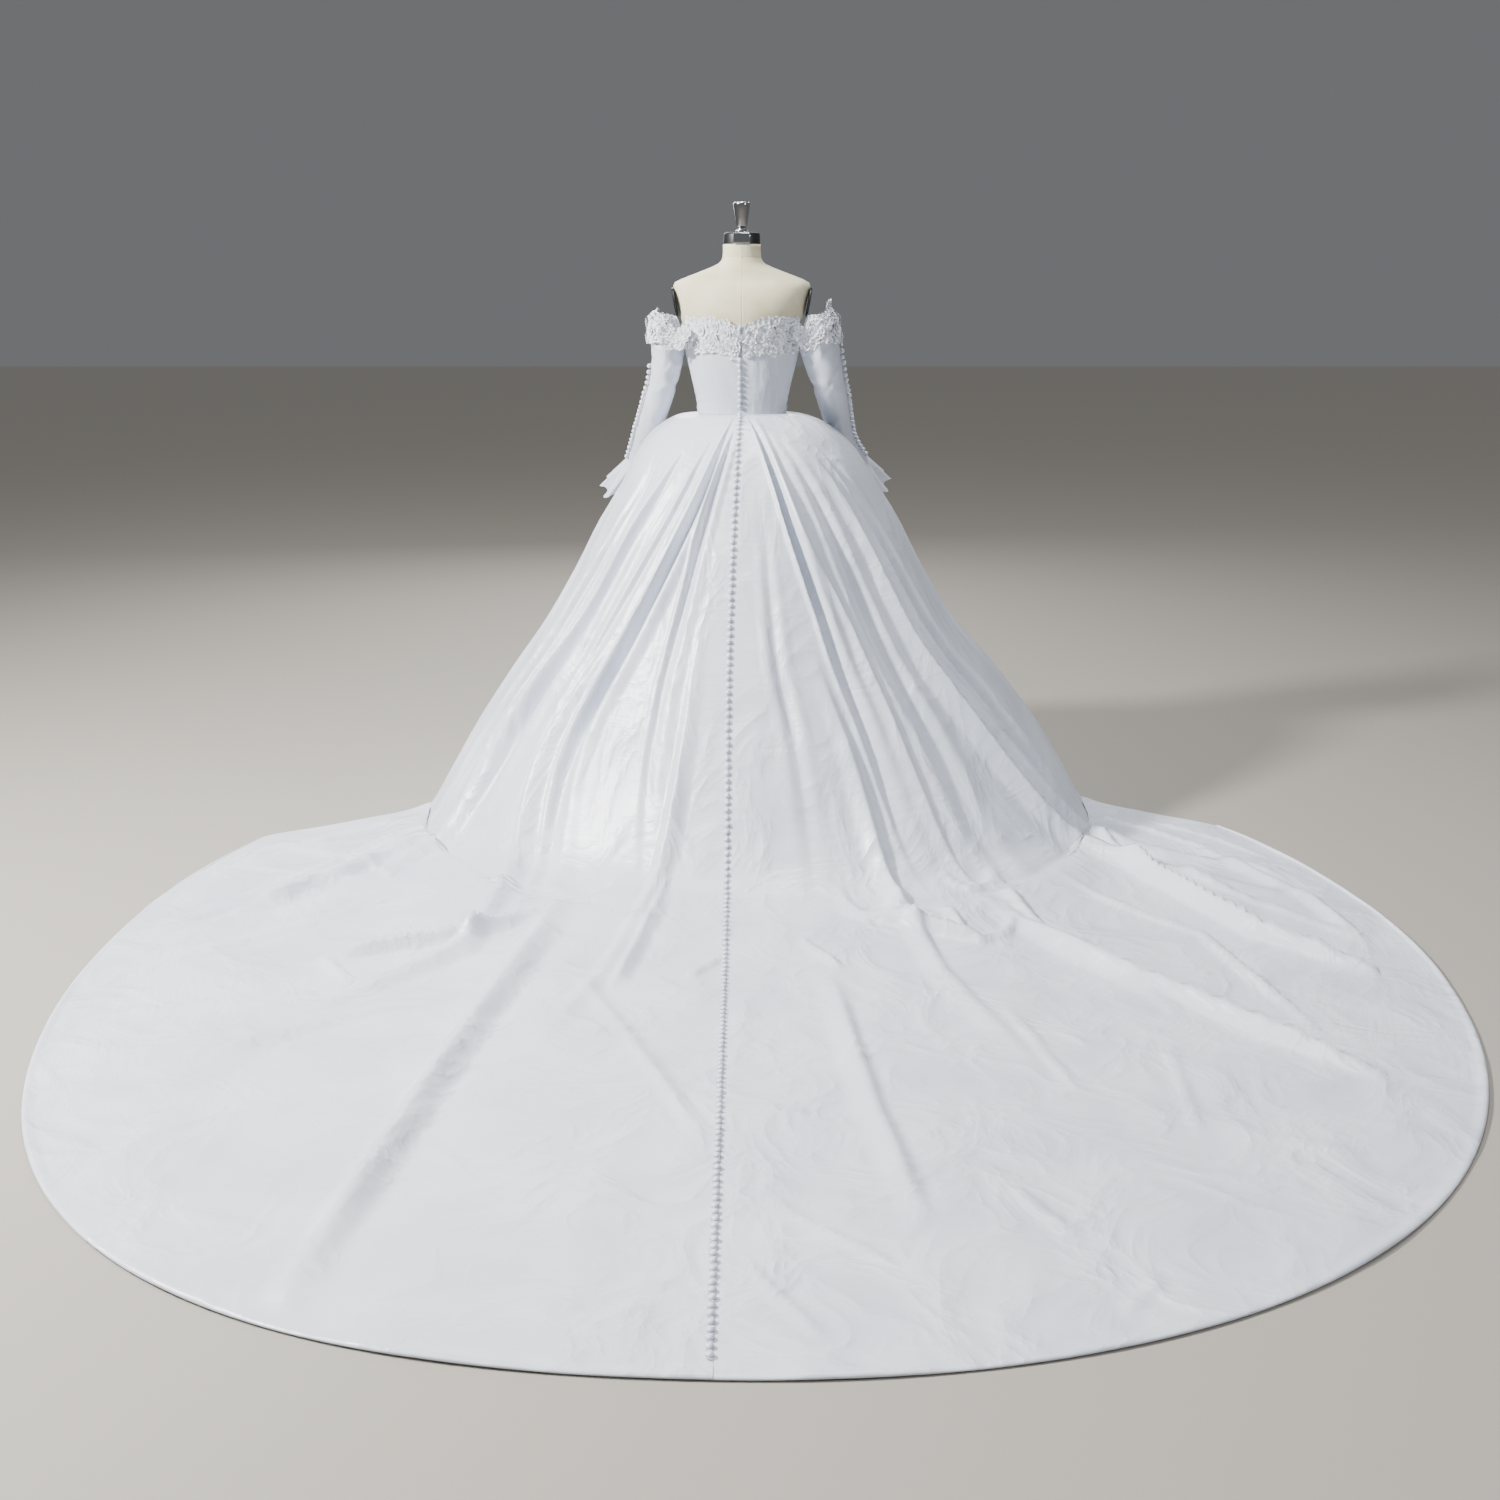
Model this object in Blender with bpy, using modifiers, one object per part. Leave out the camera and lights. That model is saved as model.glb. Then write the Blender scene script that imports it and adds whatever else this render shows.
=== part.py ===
"""A satin ball gown with a round train, hanging on a limbless dress form.

Metres, +Z up. The origin is on the floor at the form's axis. The dress faces -Y, its train lies
towards +Y and the wearer's left is +X. Angles round the dress count from +Y towards +X.
"""

import math
from collections import namedtuple

import bmesh
import bpy
from mathutils import Matrix, Vector

WAIST_HEIGHT = 1.087
SKIRT_CLOTH = 0.002
BODICE_CLOTH = 0.002
SLEEVE_CLOTH = 0.0015
LACE_CLOTH = 0.0015
SEAM_GAP = 0.0003
FORM_CLEARANCE = 0.0006

TRAIN_CENTRE = (-0.045, 0.975)
TRAIN_RADIUS = 1.445
TRAIN_FULLER = {"left": 0.065, "right": 0.030}
TRAIN_SIDE_ANGLES = {"left": 77.0, "right": -81.0}
FRONT_PANEL_ANGLE = 130.0
BACK_LINE_X = 0.028

TRAIN_COLUMNS = 24
TRAIN_ROWS = 12
SIDE_COLUMNS = 9
FRONT_COLUMNS = 14
BUTTON_SPACING = 0.0185
BUTTON_RADIUS = 0.0052
BUTTON_LIFT = 0.0010
BUTTON_DOME = 1.1
BUTTON_NECK = 0.3
BUTTON_LEAD = 0.006

FORM_COLUMNS = 24
FOOT_HEIGHT = 0.024
POLE_RADIUS = 0.016

# The body of form and bodice: half width, and depth to the front and to the back, at each height.
BodyRow = namedtuple("BodyRow", "height width front back")
BODICE_ROWS = (
    BodyRow(1.0870, 0.1170, 0.088, 0.084),
    BodyRow(1.1150, 0.1185, 0.093, 0.085),
    BodyRow(1.1500, 0.1260, 0.104, 0.088),
    BodyRow(1.1850, 0.1345, 0.117, 0.092),
    BodyRow(1.2200, 0.1430, 0.124, 0.096),
    BodyRow(1.2500, 0.1490, 0.122, 0.098),
    BodyRow(1.2800, 0.1530, 0.114, 0.099),
    BodyRow(1.3100, 0.1560, 0.104, 0.099),
)
TORSO_BELOW = (
    BodyRow(0.8200, 0.1200, 0.085, 0.090),
    BodyRow(0.8350, 0.1560, 0.105, 0.115),
    BodyRow(0.9000, 0.1680, 0.112, 0.122),
    BodyRow(0.9700, 0.1560, 0.106, 0.112),
    BodyRow(1.0400, 0.1280, 0.095, 0.092),
    BodyRow(1.0700, 0.1170, 0.090, 0.086),
)
TORSO_ABOVE = (
    BodyRow(1.3400, 0.1620, 0.096, 0.099),
    BodyRow(1.3750, 0.1700, 0.082, 0.094),
    BodyRow(1.4050, 0.1760, 0.064, 0.078),
    BodyRow(1.4150, 0.1700, 0.056, 0.068),
    BodyRow(1.4350, 0.1200, 0.052, 0.060),
    BodyRow(1.4500, 0.0800, 0.050, 0.056),
    BodyRow(1.4620, 0.0560, 0.048, 0.052),
    BodyRow(1.4800, 0.0490, 0.045, 0.048),
    BodyRow(1.5060, 0.0480, 0.044, 0.046),
)

# The skirt's fall from waist to floor: how far the cloth stands out at each height, and how far the
# whole skirt sways to the wearer's right.
FallRow = namedtuple("FallRow", "run height side back front sway")
SKIRT_FALL = (
    FallRow(0.00, 1.0867, 0.1170, 0.084, 0.088, 0.000),
    FallRow(0.05, 1.0820, 0.1640, 0.125, 0.118, 0.000),
    FallRow(0.10, 1.0660, 0.2050, 0.168, 0.145, 0.003),
    FallRow(0.17, 1.0350, 0.2480, 0.212, 0.175, 0.007),
    FallRow(0.25, 0.9850, 0.2890, 0.262, 0.208, 0.013),
    FallRow(0.35, 0.9000, 0.3370, 0.322, 0.258, 0.020),
    FallRow(0.45, 0.7900, 0.4020, 0.382, 0.330, 0.021),
    FallRow(0.55, 0.6600, 0.4700, 0.445, 0.425, 0.021),
    FallRow(0.65, 0.5200, 0.5540, 0.512, 0.520, 0.022),
    FallRow(0.75, 0.3750, 0.6700, 0.588, 0.620, 0.035),
    FallRow(0.84, 0.2200, 0.7820, 0.676, 0.720, 0.043),
    FallRow(0.91, 0.1050, 0.8520, 0.764, 0.790, 0.044),
    FallRow(0.96, 0.0380, 0.8900, 0.842, 0.835, 0.044),
    FallRow(1.00, 0.0000, 0.9150, 0.930, 0.860, 0.044),
)

# Pleats and hanging folds: where each line leaves the waist and meets the floor, in degrees, its half
# width and its height at the floor in metres (a valley is negative), and the runs where it starts,
# is deepest and has faded.
Fold = namedtuple("Fold", "waist floor half_width height start full end")
SKIRT_FOLDS = (
    Fold(8, 29, 0.038, -0.034, 0.02, 0.35, 1.10),
    Fold(19, 39, 0.055, -0.040, 0.02, 0.70, 1.18),
    Fold(34, 50, 0.058, -0.036, 0.02, 0.80, 1.12),
    Fold(52, 62, 0.055, -0.042, 0.06, 0.75, 1.12),
    Fold(68, 75, 0.045, -0.050, 0.12, 0.80, 1.05),
    Fold(93, 93, 0.060, -0.035, 0.05, 0.80, 1.40),
    Fold(112, 111, 0.055, -0.030, 0.05, 0.85, 1.40),
    Fold(134, 133, 0.060, -0.030, 0.05, 0.85, 1.40),
    Fold(153, 152, 0.060, -0.034, 0.02, 0.80, 1.40),
    Fold(171, 171, 0.055, -0.030, 0.02, 0.80, 1.40),
    Fold(-8, -16, 0.036, -0.034, 0.02, 0.35, 1.08),
    Fold(-17, -28, 0.055, -0.046, 0.02, 0.85, 1.16),
    Fold(-32, -42, 0.058, -0.038, 0.02, 0.75, 1.15),
    Fold(-49, -57, 0.060, -0.042, 0.04, 0.85, 1.12),
    Fold(-67, -75, 0.048, -0.055, 0.10, 0.75, 1.05),
    Fold(-96, -96, 0.060, -0.035, 0.05, 0.80, 1.40),
    Fold(-115, -113, 0.055, -0.030, 0.05, 0.85, 1.40),
    Fold(-134, -133, 0.060, -0.030, 0.05, 0.85, 1.40),
    Fold(-152, -152, 0.060, -0.034, 0.02, 0.80, 1.40),
)

# The largest ridges that lie on the floor: both ends in plan, half width and height.
Ridge = namedtuple("Ridge", "x0 y0 x1 y1 half_width height")
FLOOR_RIDGES = (
    Ridge(0.50, 0.81, 0.63, 1.97, 0.060, 0.030),
    Ridge(0.55, 0.90, 0.93, 1.06, 0.055, 0.034),
    Ridge(0.86, 0.42, 1.18, 0.78, 0.055, 0.030),
    Ridge(-0.59, 0.86, -1.05, 1.47, 0.060, 0.034),
    Ridge(-0.90, 0.40, -1.36, 1.10, 0.060, 0.040),
    Ridge(-0.26, 0.93, -0.50, 0.97, 0.050, 0.026),
    Ridge(0.22, 0.80, 0.30, 1.20, 0.050, 0.020),
    Ridge(-0.20, 0.95, -0.34, 1.35, 0.055, 0.018),
)

# The sleeve's centre line and its half sizes across and from front to back.
SleeveRow = namedtuple("SleeveRow", "left_x left_across right_x right_across y z depth")
SLEEVE_ROWS = (
    SleeveRow(0.1940, 0.0450, 0.1975, 0.0485, 0.000, 1.322, 0.056),
    SleeveRow(0.1940, 0.0430, 0.2010, 0.0480, 0.000, 1.292, 0.054),
    SleeveRow(0.1950, 0.0410, 0.2060, 0.0470, -0.001, 1.258, 0.052),
    SleeveRow(0.1980, 0.0380, 0.2150, 0.0450, -0.006, 1.215, 0.048),
    SleeveRow(0.2050, 0.0365, 0.2250, 0.0430, -0.020, 1.170, 0.044),
    SleeveRow(0.2210, 0.0360, 0.2390, 0.0405, -0.050, 1.120, 0.041),
    SleeveRow(0.2400, 0.0350, 0.2530, 0.0370, -0.092, 1.068, 0.038),
    SleeveRow(0.2580, 0.0330, 0.2660, 0.0340, -0.134, 1.022, 0.036),
    SleeveRow(0.2740, 0.0310, 0.2880, 0.0320, -0.168, 0.980, 0.033),
    SleeveRow(0.2890, 0.0300, 0.3160, 0.0310, -0.195, 0.942, 0.031),
)
SLEEVE_COLUMNS = 14
UPRIGHT_SLEEVE = 1.258
ARMHOLE_DROP = 0.076
ARMHOLE_INNER_SIDE = 0.35
ARMHOLE_ROWS = 4
SLEEVE_BUTTON_SPACING = 0.0175
CUFF_COLUMNS = 28
CUFF_WAVES = 7
CUFF_ROWS = 3
CUFF_REACH_OUT = 0.050
CUFF_REACH_FRONT = 0.042
CUFF_FALL = 0.070
CUFF_HALF_WIDTH = 0.044
CUFF_WAVE_DEPTH = 0.009

NECK_BACK_HEIGHT = 1.294
NECK_BACK_RISE = 0.018
NECK_BACK_STEEPNESS = 1.6
NECK_FRONT_HEIGHT = 1.286
NECK_FRONT_RISE = 0.026
NECK_FRONT_STEEPNESS = 1.3

LACE_RELIEF = 0.007
LACE_LIFT = 0.0010
LACE_FOOT_BACK = 1.239
LACE_FOOT_FRONT = 1.235
LACE_FOOT_SLEEVE = 1.272
LACE_FOOT_RISE = 0.012
LACE_FOOT_STEEPNESS = 1.5
LACE_ABOVE_EDGE = 0.006
LACE_ABOVE_SLEEVE = 0.008
LACE_SIDE_ANGLE = 76
LACE_FRONT_ANGLE = 73
LACE_RISE_LEFT = 0.014
LACE_RISE_RIGHT = 0.034
SLEEVE_LACE_ANGLE = 136
CENTRE_BACK_GAP = 0.4
LACE_ROWS = 6
SLEEVE_LACE_COLUMNS = 20
BODICE_BAND = 0.056
SLEEVE_BAND = 0.060
BODY_MEAN_RADIUS = 0.125
SLEEVE_MEAN_RADIUS = 0.052
SCALLOP_DEPTH = 0.004
SCALLOP_LENGTH = 0.03
FLOWER_SPACING = 0.034
PETALS = 5
PETAL_LENGTH = 0.28
PETAL_RIM = 0.75
PETAL_HEART = 0.35

PLATE_THICKNESS = 0.006
PLATE_HALF_DEPTH = 0.034
PLATE_HALF_HEIGHT = 0.036
PLATE_TILT = 0.17
PLATE_X = 0.1722
PLATE_Y = 0.005
PLATE_Z = 1.365
NECK_CAP_RADIUS = 0.0466
NECK_CAP_HEIGHT = 0.028

# Where the flowers sit across a lace band and how large they are: the places in one repeat along it.
FlowerPlace = namedtuple("FlowerPlace", "along up radius")
FLOWER_PLACES = (
    FlowerPlace(0.5, 0.62, 0.019),
    FlowerPlace(1.5, 0.70, 0.022),
    FlowerPlace(1.0, 0.26, 0.017),
)

# The turned parts of the form, from the top down: radius, and height over the part's own underside.
TurnRow = namedtuple("TurnRow", "radius height")
KNOB_ROWS = (
    TurnRow(0.0000, 0.074),
    TurnRow(0.0170, 0.074),
    TurnRow(0.0215, 0.069),
    TurnRow(0.0215, 0.065),
    TurnRow(0.0110, 0.008),
    TurnRow(0.0120, 0.004),
    TurnRow(0.0160, 0.000),
    TurnRow(0.0000, 0.000),
)
FOOT_ROWS = (
    TurnRow(0.00, FOOT_HEIGHT),
    TurnRow(0.04, FOOT_HEIGHT),
    TurnRow(0.19, 0.012),
    TurnRow(0.20, 0.006),
    TurnRow(0.20, 0.000),
    TurnRow(0.00, 0.000),
)

Flower = namedtuple("Flower", "along up radius")

SATIN = ("white satin", (0.93, 0.94, 0.96), 0.38, 0.0)
LACE = ("white flower lace", (0.95, 0.95, 0.97), 0.7, 0.0)
LINEN = ("cream linen cover", (0.86, 0.82, 0.68), 0.9, 0.0)
BLACK = ("black moulded plastic", (0.02, 0.02, 0.022), 0.45, 0.0)
CHROME = ("polished chrome", (0.72, 0.73, 0.75), 0.15, 1.0)
ENAMEL = ("grey enamelled iron", (0.16, 0.16, 0.17), 0.5, 0.0)


for old in list(bpy.data.objects):
    bpy.data.objects.remove(old)
gown = bpy.data.collections.new("wedding_dress_on_form")
bpy.context.scene.collection.children.link(gown)


def material(look):
    name, colour, roughness, metallic = look
    made = bpy.data.materials.get(name)
    if made:
        return made
    made = bpy.data.materials.new(name)
    made.use_nodes = True
    shader = made.node_tree.nodes["Principled BSDF"]
    shader.inputs["Base Color"].default_value = (*colour, 1.0)
    shader.inputs["Roughness"].default_value = roughness
    shader.inputs["Metallic"].default_value = metallic
    return made


def add_object(name, mesh, look, smooth_degrees=50):
    mesh.materials.append(material(look))
    mesh.shade_smooth()
    mesh.set_sharp_from_angle(angle=math.radians(smooth_degrees))
    made = bpy.data.objects.new(name, mesh)
    gown.objects.link(made)
    return made


def add_mesh(name, points, faces, look):
    mesh = bpy.data.meshes.new(name)
    mesh.from_pydata([tuple(point) for point in points], [], faces)
    mesh.update()
    return add_object(name, mesh, look)


def table_value(rows, key, wanted, at):
    """Reads column `wanted` of a table at the place `at` in its column `key`, on a smooth curve."""
    places = [getattr(row, key) for row in rows]
    values = [getattr(row, wanted) for row in rows]
    last = len(rows) - 1
    at = min(max(at, places[0]), places[last])
    low = max(i for i in range(last) if places[i] <= at)
    span = places[low + 1] - places[low]
    share = (at - places[low]) / span

    def slope(i):
        before = max(i - 1, 0)
        after = min(i + 1, last)
        return (values[after] - values[before]) / (places[after] - places[before])

    squared = share * share
    cubed = squared * share
    return (
        (2 * cubed - 3 * squared + 1) * values[low]
        + (cubed - 2 * squared + share) * span * slope(low)
        + (3 * squared - 2 * cubed) * values[low + 1]
        + (cubed - squared) * span * slope(low + 1)
    )


def ease(share):
    share = min(max(share, 0.0), 1.0)
    return share * share * (3 - 2 * share)


def oval(angle, width, front, back):
    """The distance from the axis to an oval that is deeper on one side than on the other."""
    depth = back if math.cos(angle) > 0 else front
    return 1 / math.hypot(math.sin(angle) / width, math.cos(angle) / depth)


def split_quad(corners):
    """Both halves of a quad, on the same diagonal wherever two walls follow each other."""
    first, second, third, fourth = corners
    return [[first, second, third], [first, third, fourth]]


def wall(name, outer, inner, look, ring=False):
    """A cloth wall between two grids of points, outer rows from top to bottom, turning towards +X."""
    rows = len(outer)
    columns = len(outer[0])
    points = [point for row in outer for point in row] + [point for row in inner for point in row]
    under = rows * columns

    def at(row, column):
        return row * columns + column % columns

    faces = []
    for row in range(rows - 1):
        for column in range(columns if ring else columns - 1):
            corners = [at(row, column), at(row + 1, column), at(row + 1, column + 1), at(row, column + 1)]
            for face in split_quad(corners):
                faces.append(face)
                faces.append([under + corner for corner in reversed(face)])
    for column in range(columns if ring else columns - 1):
        first, second = at(0, column), at(0, column + 1)
        faces.append([first, second, under + second, under + first])
        first, second = at(rows - 1, column), at(rows - 1, column + 1)
        faces.append([second, first, under + first, under + second])
    if not ring:
        for row in range(rows - 1):
            first, second = at(row, 0), at(row + 1, 0)
            faces += split_quad([first, under + first, under + second, second])
            first, second = at(row, columns - 1), at(row + 1, columns - 1)
            faces += split_quad([first, second, under + second, under + first])
    made = add_mesh(name, points, faces, look)
    face_outwards(made)
    return made


def face_outwards(made):
    work = bmesh.new()
    work.from_mesh(made.data)
    bmesh.ops.recalc_face_normals(work, faces=work.faces[:])
    if work.calc_volume(signed=True) < 0:
        bmesh.ops.reverse_faces(work, faces=work.faces[:])
    work.to_mesh(made.data)
    work.free()


def turned(name, profile, look, place, columns=24):
    """A solid turned round the vertical through `place`; the profile runs from top to bottom at +X."""
    mesh = bpy.data.meshes.new(name)
    last = len(profile) - 1
    mesh.from_pydata([(radius, 0, z) for radius, z in profile], [(i, i + 1) for i in range(last)], [])
    made = add_object(name, mesh, look)
    made.location = place
    screw = made.modifiers.new("turn", "SCREW")
    screw.steps = columns
    screw.render_steps = columns
    screw.use_merge_vertices = True
    screw.merge_threshold = 0.0001
    return made


# Skirt and train. A place on the skirt is an angle round the form and a run: 0 at the waist, 1 where
# the cloth meets the floor, 2 at the train's hem.


def hem_radius(angle):
    """From the form's axis to the train's hem, a circle that is a little fuller between its axes."""
    out = Vector((math.sin(angle), math.cos(angle)))
    centre = Vector(TRAIN_CENTRE)
    along = centre.dot(out)
    reach = along + math.sqrt(TRAIN_RADIUS**2 - centre.length_squared + along**2)
    spoke = out * reach - centre
    turn = math.atan2(spoke.x, spoke.y)
    fuller = 1 + TRAIN_FULLER["left" if spoke.x > 0 else "right"] * math.sin(2 * turn) ** 2
    return (centre + spoke * fuller).length


def sway(run):
    return table_value(SKIRT_FALL, "run", "sway", min(run, 1.0)) * min(max(2 - run, 0.0), 1.0)


def fall(angle, run):
    """Distance from the axis and height of the unfolded skirt."""
    hanging = min(run, 1.0)
    sizes = [table_value(SKIRT_FALL, "run", size, hanging) for size in ("side", "front", "back")]
    radius = oval(angle, *sizes)
    height = table_value(SKIRT_FALL, "run", "height", hanging)
    if run > 1:
        radius += (run - 1) * (hem_radius(angle) - radius)
    return radius, height


def fold_shape(distance):
    """A trough one wide each side of its middle, between two lower shoulders."""
    distance = abs(distance)
    if distance < 1:
        return 1.35 * math.cos(distance * math.pi / 2) ** 2 - 0.35
    if distance < 2:
        return -0.35 * math.cos((distance - 1) * math.pi / 2) ** 2
    return 0.0


def fold_depth(angle, run, radius):
    depth = 0.0
    spread = ease(run / 0.7)
    for fold in SKIRT_FOLDS:
        middle = math.radians(fold.waist + (fold.floor - fold.waist) * spread)
        turn = (angle - middle + math.pi) % math.tau - math.pi
        half_width = fold.half_width * (0.2 + 0.8 * min(run, 1.0))
        place = turn * radius / half_width
        if abs(place) >= 2:
            continue
        grown = ease((run - fold.start) / (fold.full - fold.start))
        faded = ease((run - fold.full) / (fold.end - fold.full))
        depth += fold.height * grown * (1 - faded) * fold_shape(place)
    return depth


def ridge_height(x, y):
    height = 0.0
    for ridge in FLOOR_RIDGES:
        start = Vector((ridge.x0, ridge.y0))
        along = Vector((ridge.x1, ridge.y1)) - start
        to_point = Vector((x, y)) - start
        share = to_point.dot(along) / along.length_squared
        nearest = start + along * min(max(share, 0.0), 1.0)
        place = (Vector((x, y)) - nearest).length / ridge.half_width
        if place < 1:
            ends = ease(min(share + 0.25, 1.25 - share) / 0.4)
            height = max(height, ridge.height * ends * math.cos(place * math.pi / 2) ** 2)
    return height


def skirt_point(angle, run):
    radius, height = fall(angle, run)
    step = 0.01
    near_radius, near_height = fall(angle, max(run - step, 0.0))
    far_radius, far_height = fall(angle, run + step)
    if run > 1:
        near_height = far_height
    out = Vector((near_height - far_height, far_radius - near_radius)).normalized()
    depth = fold_depth(angle, run, radius)
    radius += out.x * depth
    height += out.y * depth
    x = radius * math.sin(angle)
    y = radius * math.cos(angle)
    height += ridge_height(x, y) * ease((run - 0.92) / 0.12)
    x -= sway(run)
    return Vector((x, y, max(height, SKIRT_CLOTH)))


def skirt_normal(angle, run):
    turn = 0.01
    step = 0.006
    around = skirt_point(angle + turn, run) - skirt_point(angle - turn, run)
    last = min(run + step, 2.0)
    down = skirt_point(angle, last) - skirt_point(angle, max(run - step, 0.0))
    normal = around.cross(down).normalized()
    return normal


def column_angle(share, first_angle, last_angle, run):
    """The centre back line hangs a little to the wearer's left of the form's axis."""
    drift = math.degrees((BACK_LINE_X * ease(run / 0.8) + sway(run)) / fall(0.0, run)[0])
    if first_angle == 0:
        first_angle = drift
    if last_angle == 0:
        last_angle = drift
    return math.radians(first_angle + (last_angle - first_angle) * share)


def skirt_panel(name, first_angle, last_angle, columns, runs):
    """One panel from the waist down, half a seam gap short of the seam on each side."""
    outer = []
    inner = []
    for run in runs:
        outer_row = []
        inner_row = []
        for column in range(columns + 1):
            angle = column_angle(column / columns, first_angle, last_angle, run)
            point = skirt_point(angle, run)
            normal = skirt_normal(angle, run)
            if column in (0, columns):
                inwards = 1 if column == 0 else -1
                sideways = Vector((math.cos(angle), -math.sin(angle), 0)) * inwards
                point = point + sideways * (SEAM_GAP / 2)
            under = point - normal * SKIRT_CLOTH
            under.z = max(under.z, 0.0)
            outer_row.append(point)
            inner_row.append(under)
        outer.append(outer_row)
        inner.append(inner_row)
    wall(name, outer, inner, SATIN)
    return outer


def make_skirt():
    hanging = [row.run for row in SKIRT_FALL]
    lying = [1 + (i + 1) / TRAIN_ROWS for i in range(TRAIN_ROWS)]
    sides = (("left", 1), ("right", -1))
    train = {}
    for side, sign in sides:
        edge = sorted((0.0, TRAIN_SIDE_ANGLES[side]))
        train[side] = skirt_panel("skirt_train_" + side, *edge, TRAIN_COLUMNS, hanging + lying)
        edge = sorted((TRAIN_SIDE_ANGLES[side], sign * FRONT_PANEL_ANGLE))
        skirt_panel("skirt_side_" + side, *edge, SIDE_COLUMNS, hanging)
    skirt_panel("skirt_front", FRONT_PANEL_ANGLE, 360 - FRONT_PANEL_ANGLE, FRONT_COLUMNS, hanging)
    return train


# Button rows. A row of covered buttons is one body: a bar of three sides that swells at each button.


def bead_row(name, line, look, spacing=BUTTON_SPACING):
    """`line` is a list of (point, across, normal); the buttons follow it at even spacing."""
    lengths = [0.0]
    for before, after in zip(line, line[1:]):
        lengths.append(lengths[-1] + (after[0] - before[0]).length)
    count = int((lengths[-1] - 2 * BUTTON_LEAD) / spacing)
    points = []
    for i in range(2 * count + 1):
        at = BUTTON_LEAD + i * spacing / 2
        low = max(k for k in range(len(line) - 1) if lengths[k] <= at)
        share = (at - lengths[low]) / (lengths[low + 1] - lengths[low])
        place, across, normal = (a.lerp(b, share) for a, b in zip(line[low], line[low + 1]))
        across = across.normalized()
        normal = normal.normalized()
        swell = 1.0 if i % 2 else BUTTON_NECK
        foot = place + normal * BUTTON_LIFT
        points.append(foot - across * (BUTTON_RADIUS * swell))
        points.append(foot + across * (BUTTON_RADIUS * swell))
        points.append(foot + normal * (BUTTON_RADIUS * BUTTON_DOME * swell))
    faces = [[2, 1, 0]]
    for i in range(2 * count):
        for k in range(3):
            a = 3 * i + k
            b = 3 * i + (k + 1) % 3
            faces.append([a, b, b + 3, a + 3])
    end = 6 * count
    faces.append([end, end + 1, end + 2])
    made = add_mesh(name, points, faces, look)
    face_outwards(made)
    return made


def skirt_buttons(train):
    """The buttons over the seam at the centre back, made from the first points of both back panels."""
    line = []
    rows = list(zip(train["left"], train["right"]))
    for index, (left_row, right_row) in enumerate(rows):
        left, right = left_row[0], right_row[-1]
        before = rows[max(index - 1, 0)][0][0]
        after = rows[min(index + 1, len(rows) - 1)][0][0]
        across = Vector((1, 0, 0))
        normal = across.cross(before - after).normalized()
        if normal.z < 0:
            normal = -normal
        line.append(((left + right) / 2, across, normal))
    break_row = len(SKIRT_FALL) - 1
    bead_row("buttons_skirt", line[: break_row + 1], SATIN)
    bead_row("buttons_train", line[break_row:], SATIN)


# Bodice. A place on it is an angle and a share of the way from the waist to the top edge.


def body_point(angle, height, moved_out=0.0):
    """On the bodice's outer surface, or that far outside it."""
    sizes = [table_value(BODICE_ROWS, "height", size, height) for size in ("width", "front", "back")]
    radius = oval(angle, *sizes) + moved_out
    return Vector((radius * math.sin(angle), radius * math.cos(angle), height))


def bodice_top(angle):
    """The neckline: lowest at the centre back, a shallow heart at the front."""
    side = abs(math.sin(angle))
    if math.cos(angle) > 0:
        return NECK_BACK_HEIGHT + NECK_BACK_RISE * ease(side * NECK_BACK_STEEPNESS)
    return NECK_FRONT_HEIGHT + NECK_FRONT_RISE * ease(side * NECK_FRONT_STEEPNESS)


def bodice_height(angle, row):
    return WAIST_HEIGHT + (bodice_top(angle) - WAIST_HEIGHT) * row / (len(BODICE_ROWS) - 1)


def bodice_panel(name, first_angle, last_angle, columns):
    outer = []
    inner = []
    for row in range(len(BODICE_ROWS)):
        outer_row = []
        inner_row = []
        for column in range(columns + 1):
            angle = math.radians(first_angle + (last_angle - first_angle) * column / columns)
            height = bodice_height(angle, row)
            side = 0
            if column in (0, columns):
                side = 1 if column == 0 else -1
            sideways = Vector((math.cos(angle), -math.sin(angle), 0)) * (side * SEAM_GAP / 2)
            outer_row.append(body_point(angle, height) + sideways)
            inner_row.append(body_point(angle, height, -BODICE_CLOTH) + sideways)
        outer.append(outer_row)
        inner.append(inner_row)
    wall(name, outer, inner, SATIN)
    return outer


def make_bodice():
    step = 360 // FORM_COLUMNS
    left = bodice_panel("bodice_back_left", 0, 90, 90 // step)
    bodice_panel("bodice_front", 90, 270, 180 // step)
    right = bodice_panel("bodice_back_right", 270, 360, 90 // step)
    line = []
    for left_row, right_row in zip(left, right):
        place = (left_row[0] + right_row[-1]) / 2
        if place.z < LACE_FOOT_BACK - 0.004:
            line.append((place, Vector((1, 0, 0)), Vector((0, 1, 0))))
    bead_row("buttons_bodice", line, SATIN)


# Sleeves, cuffs and the lace at the neckline.


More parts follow.
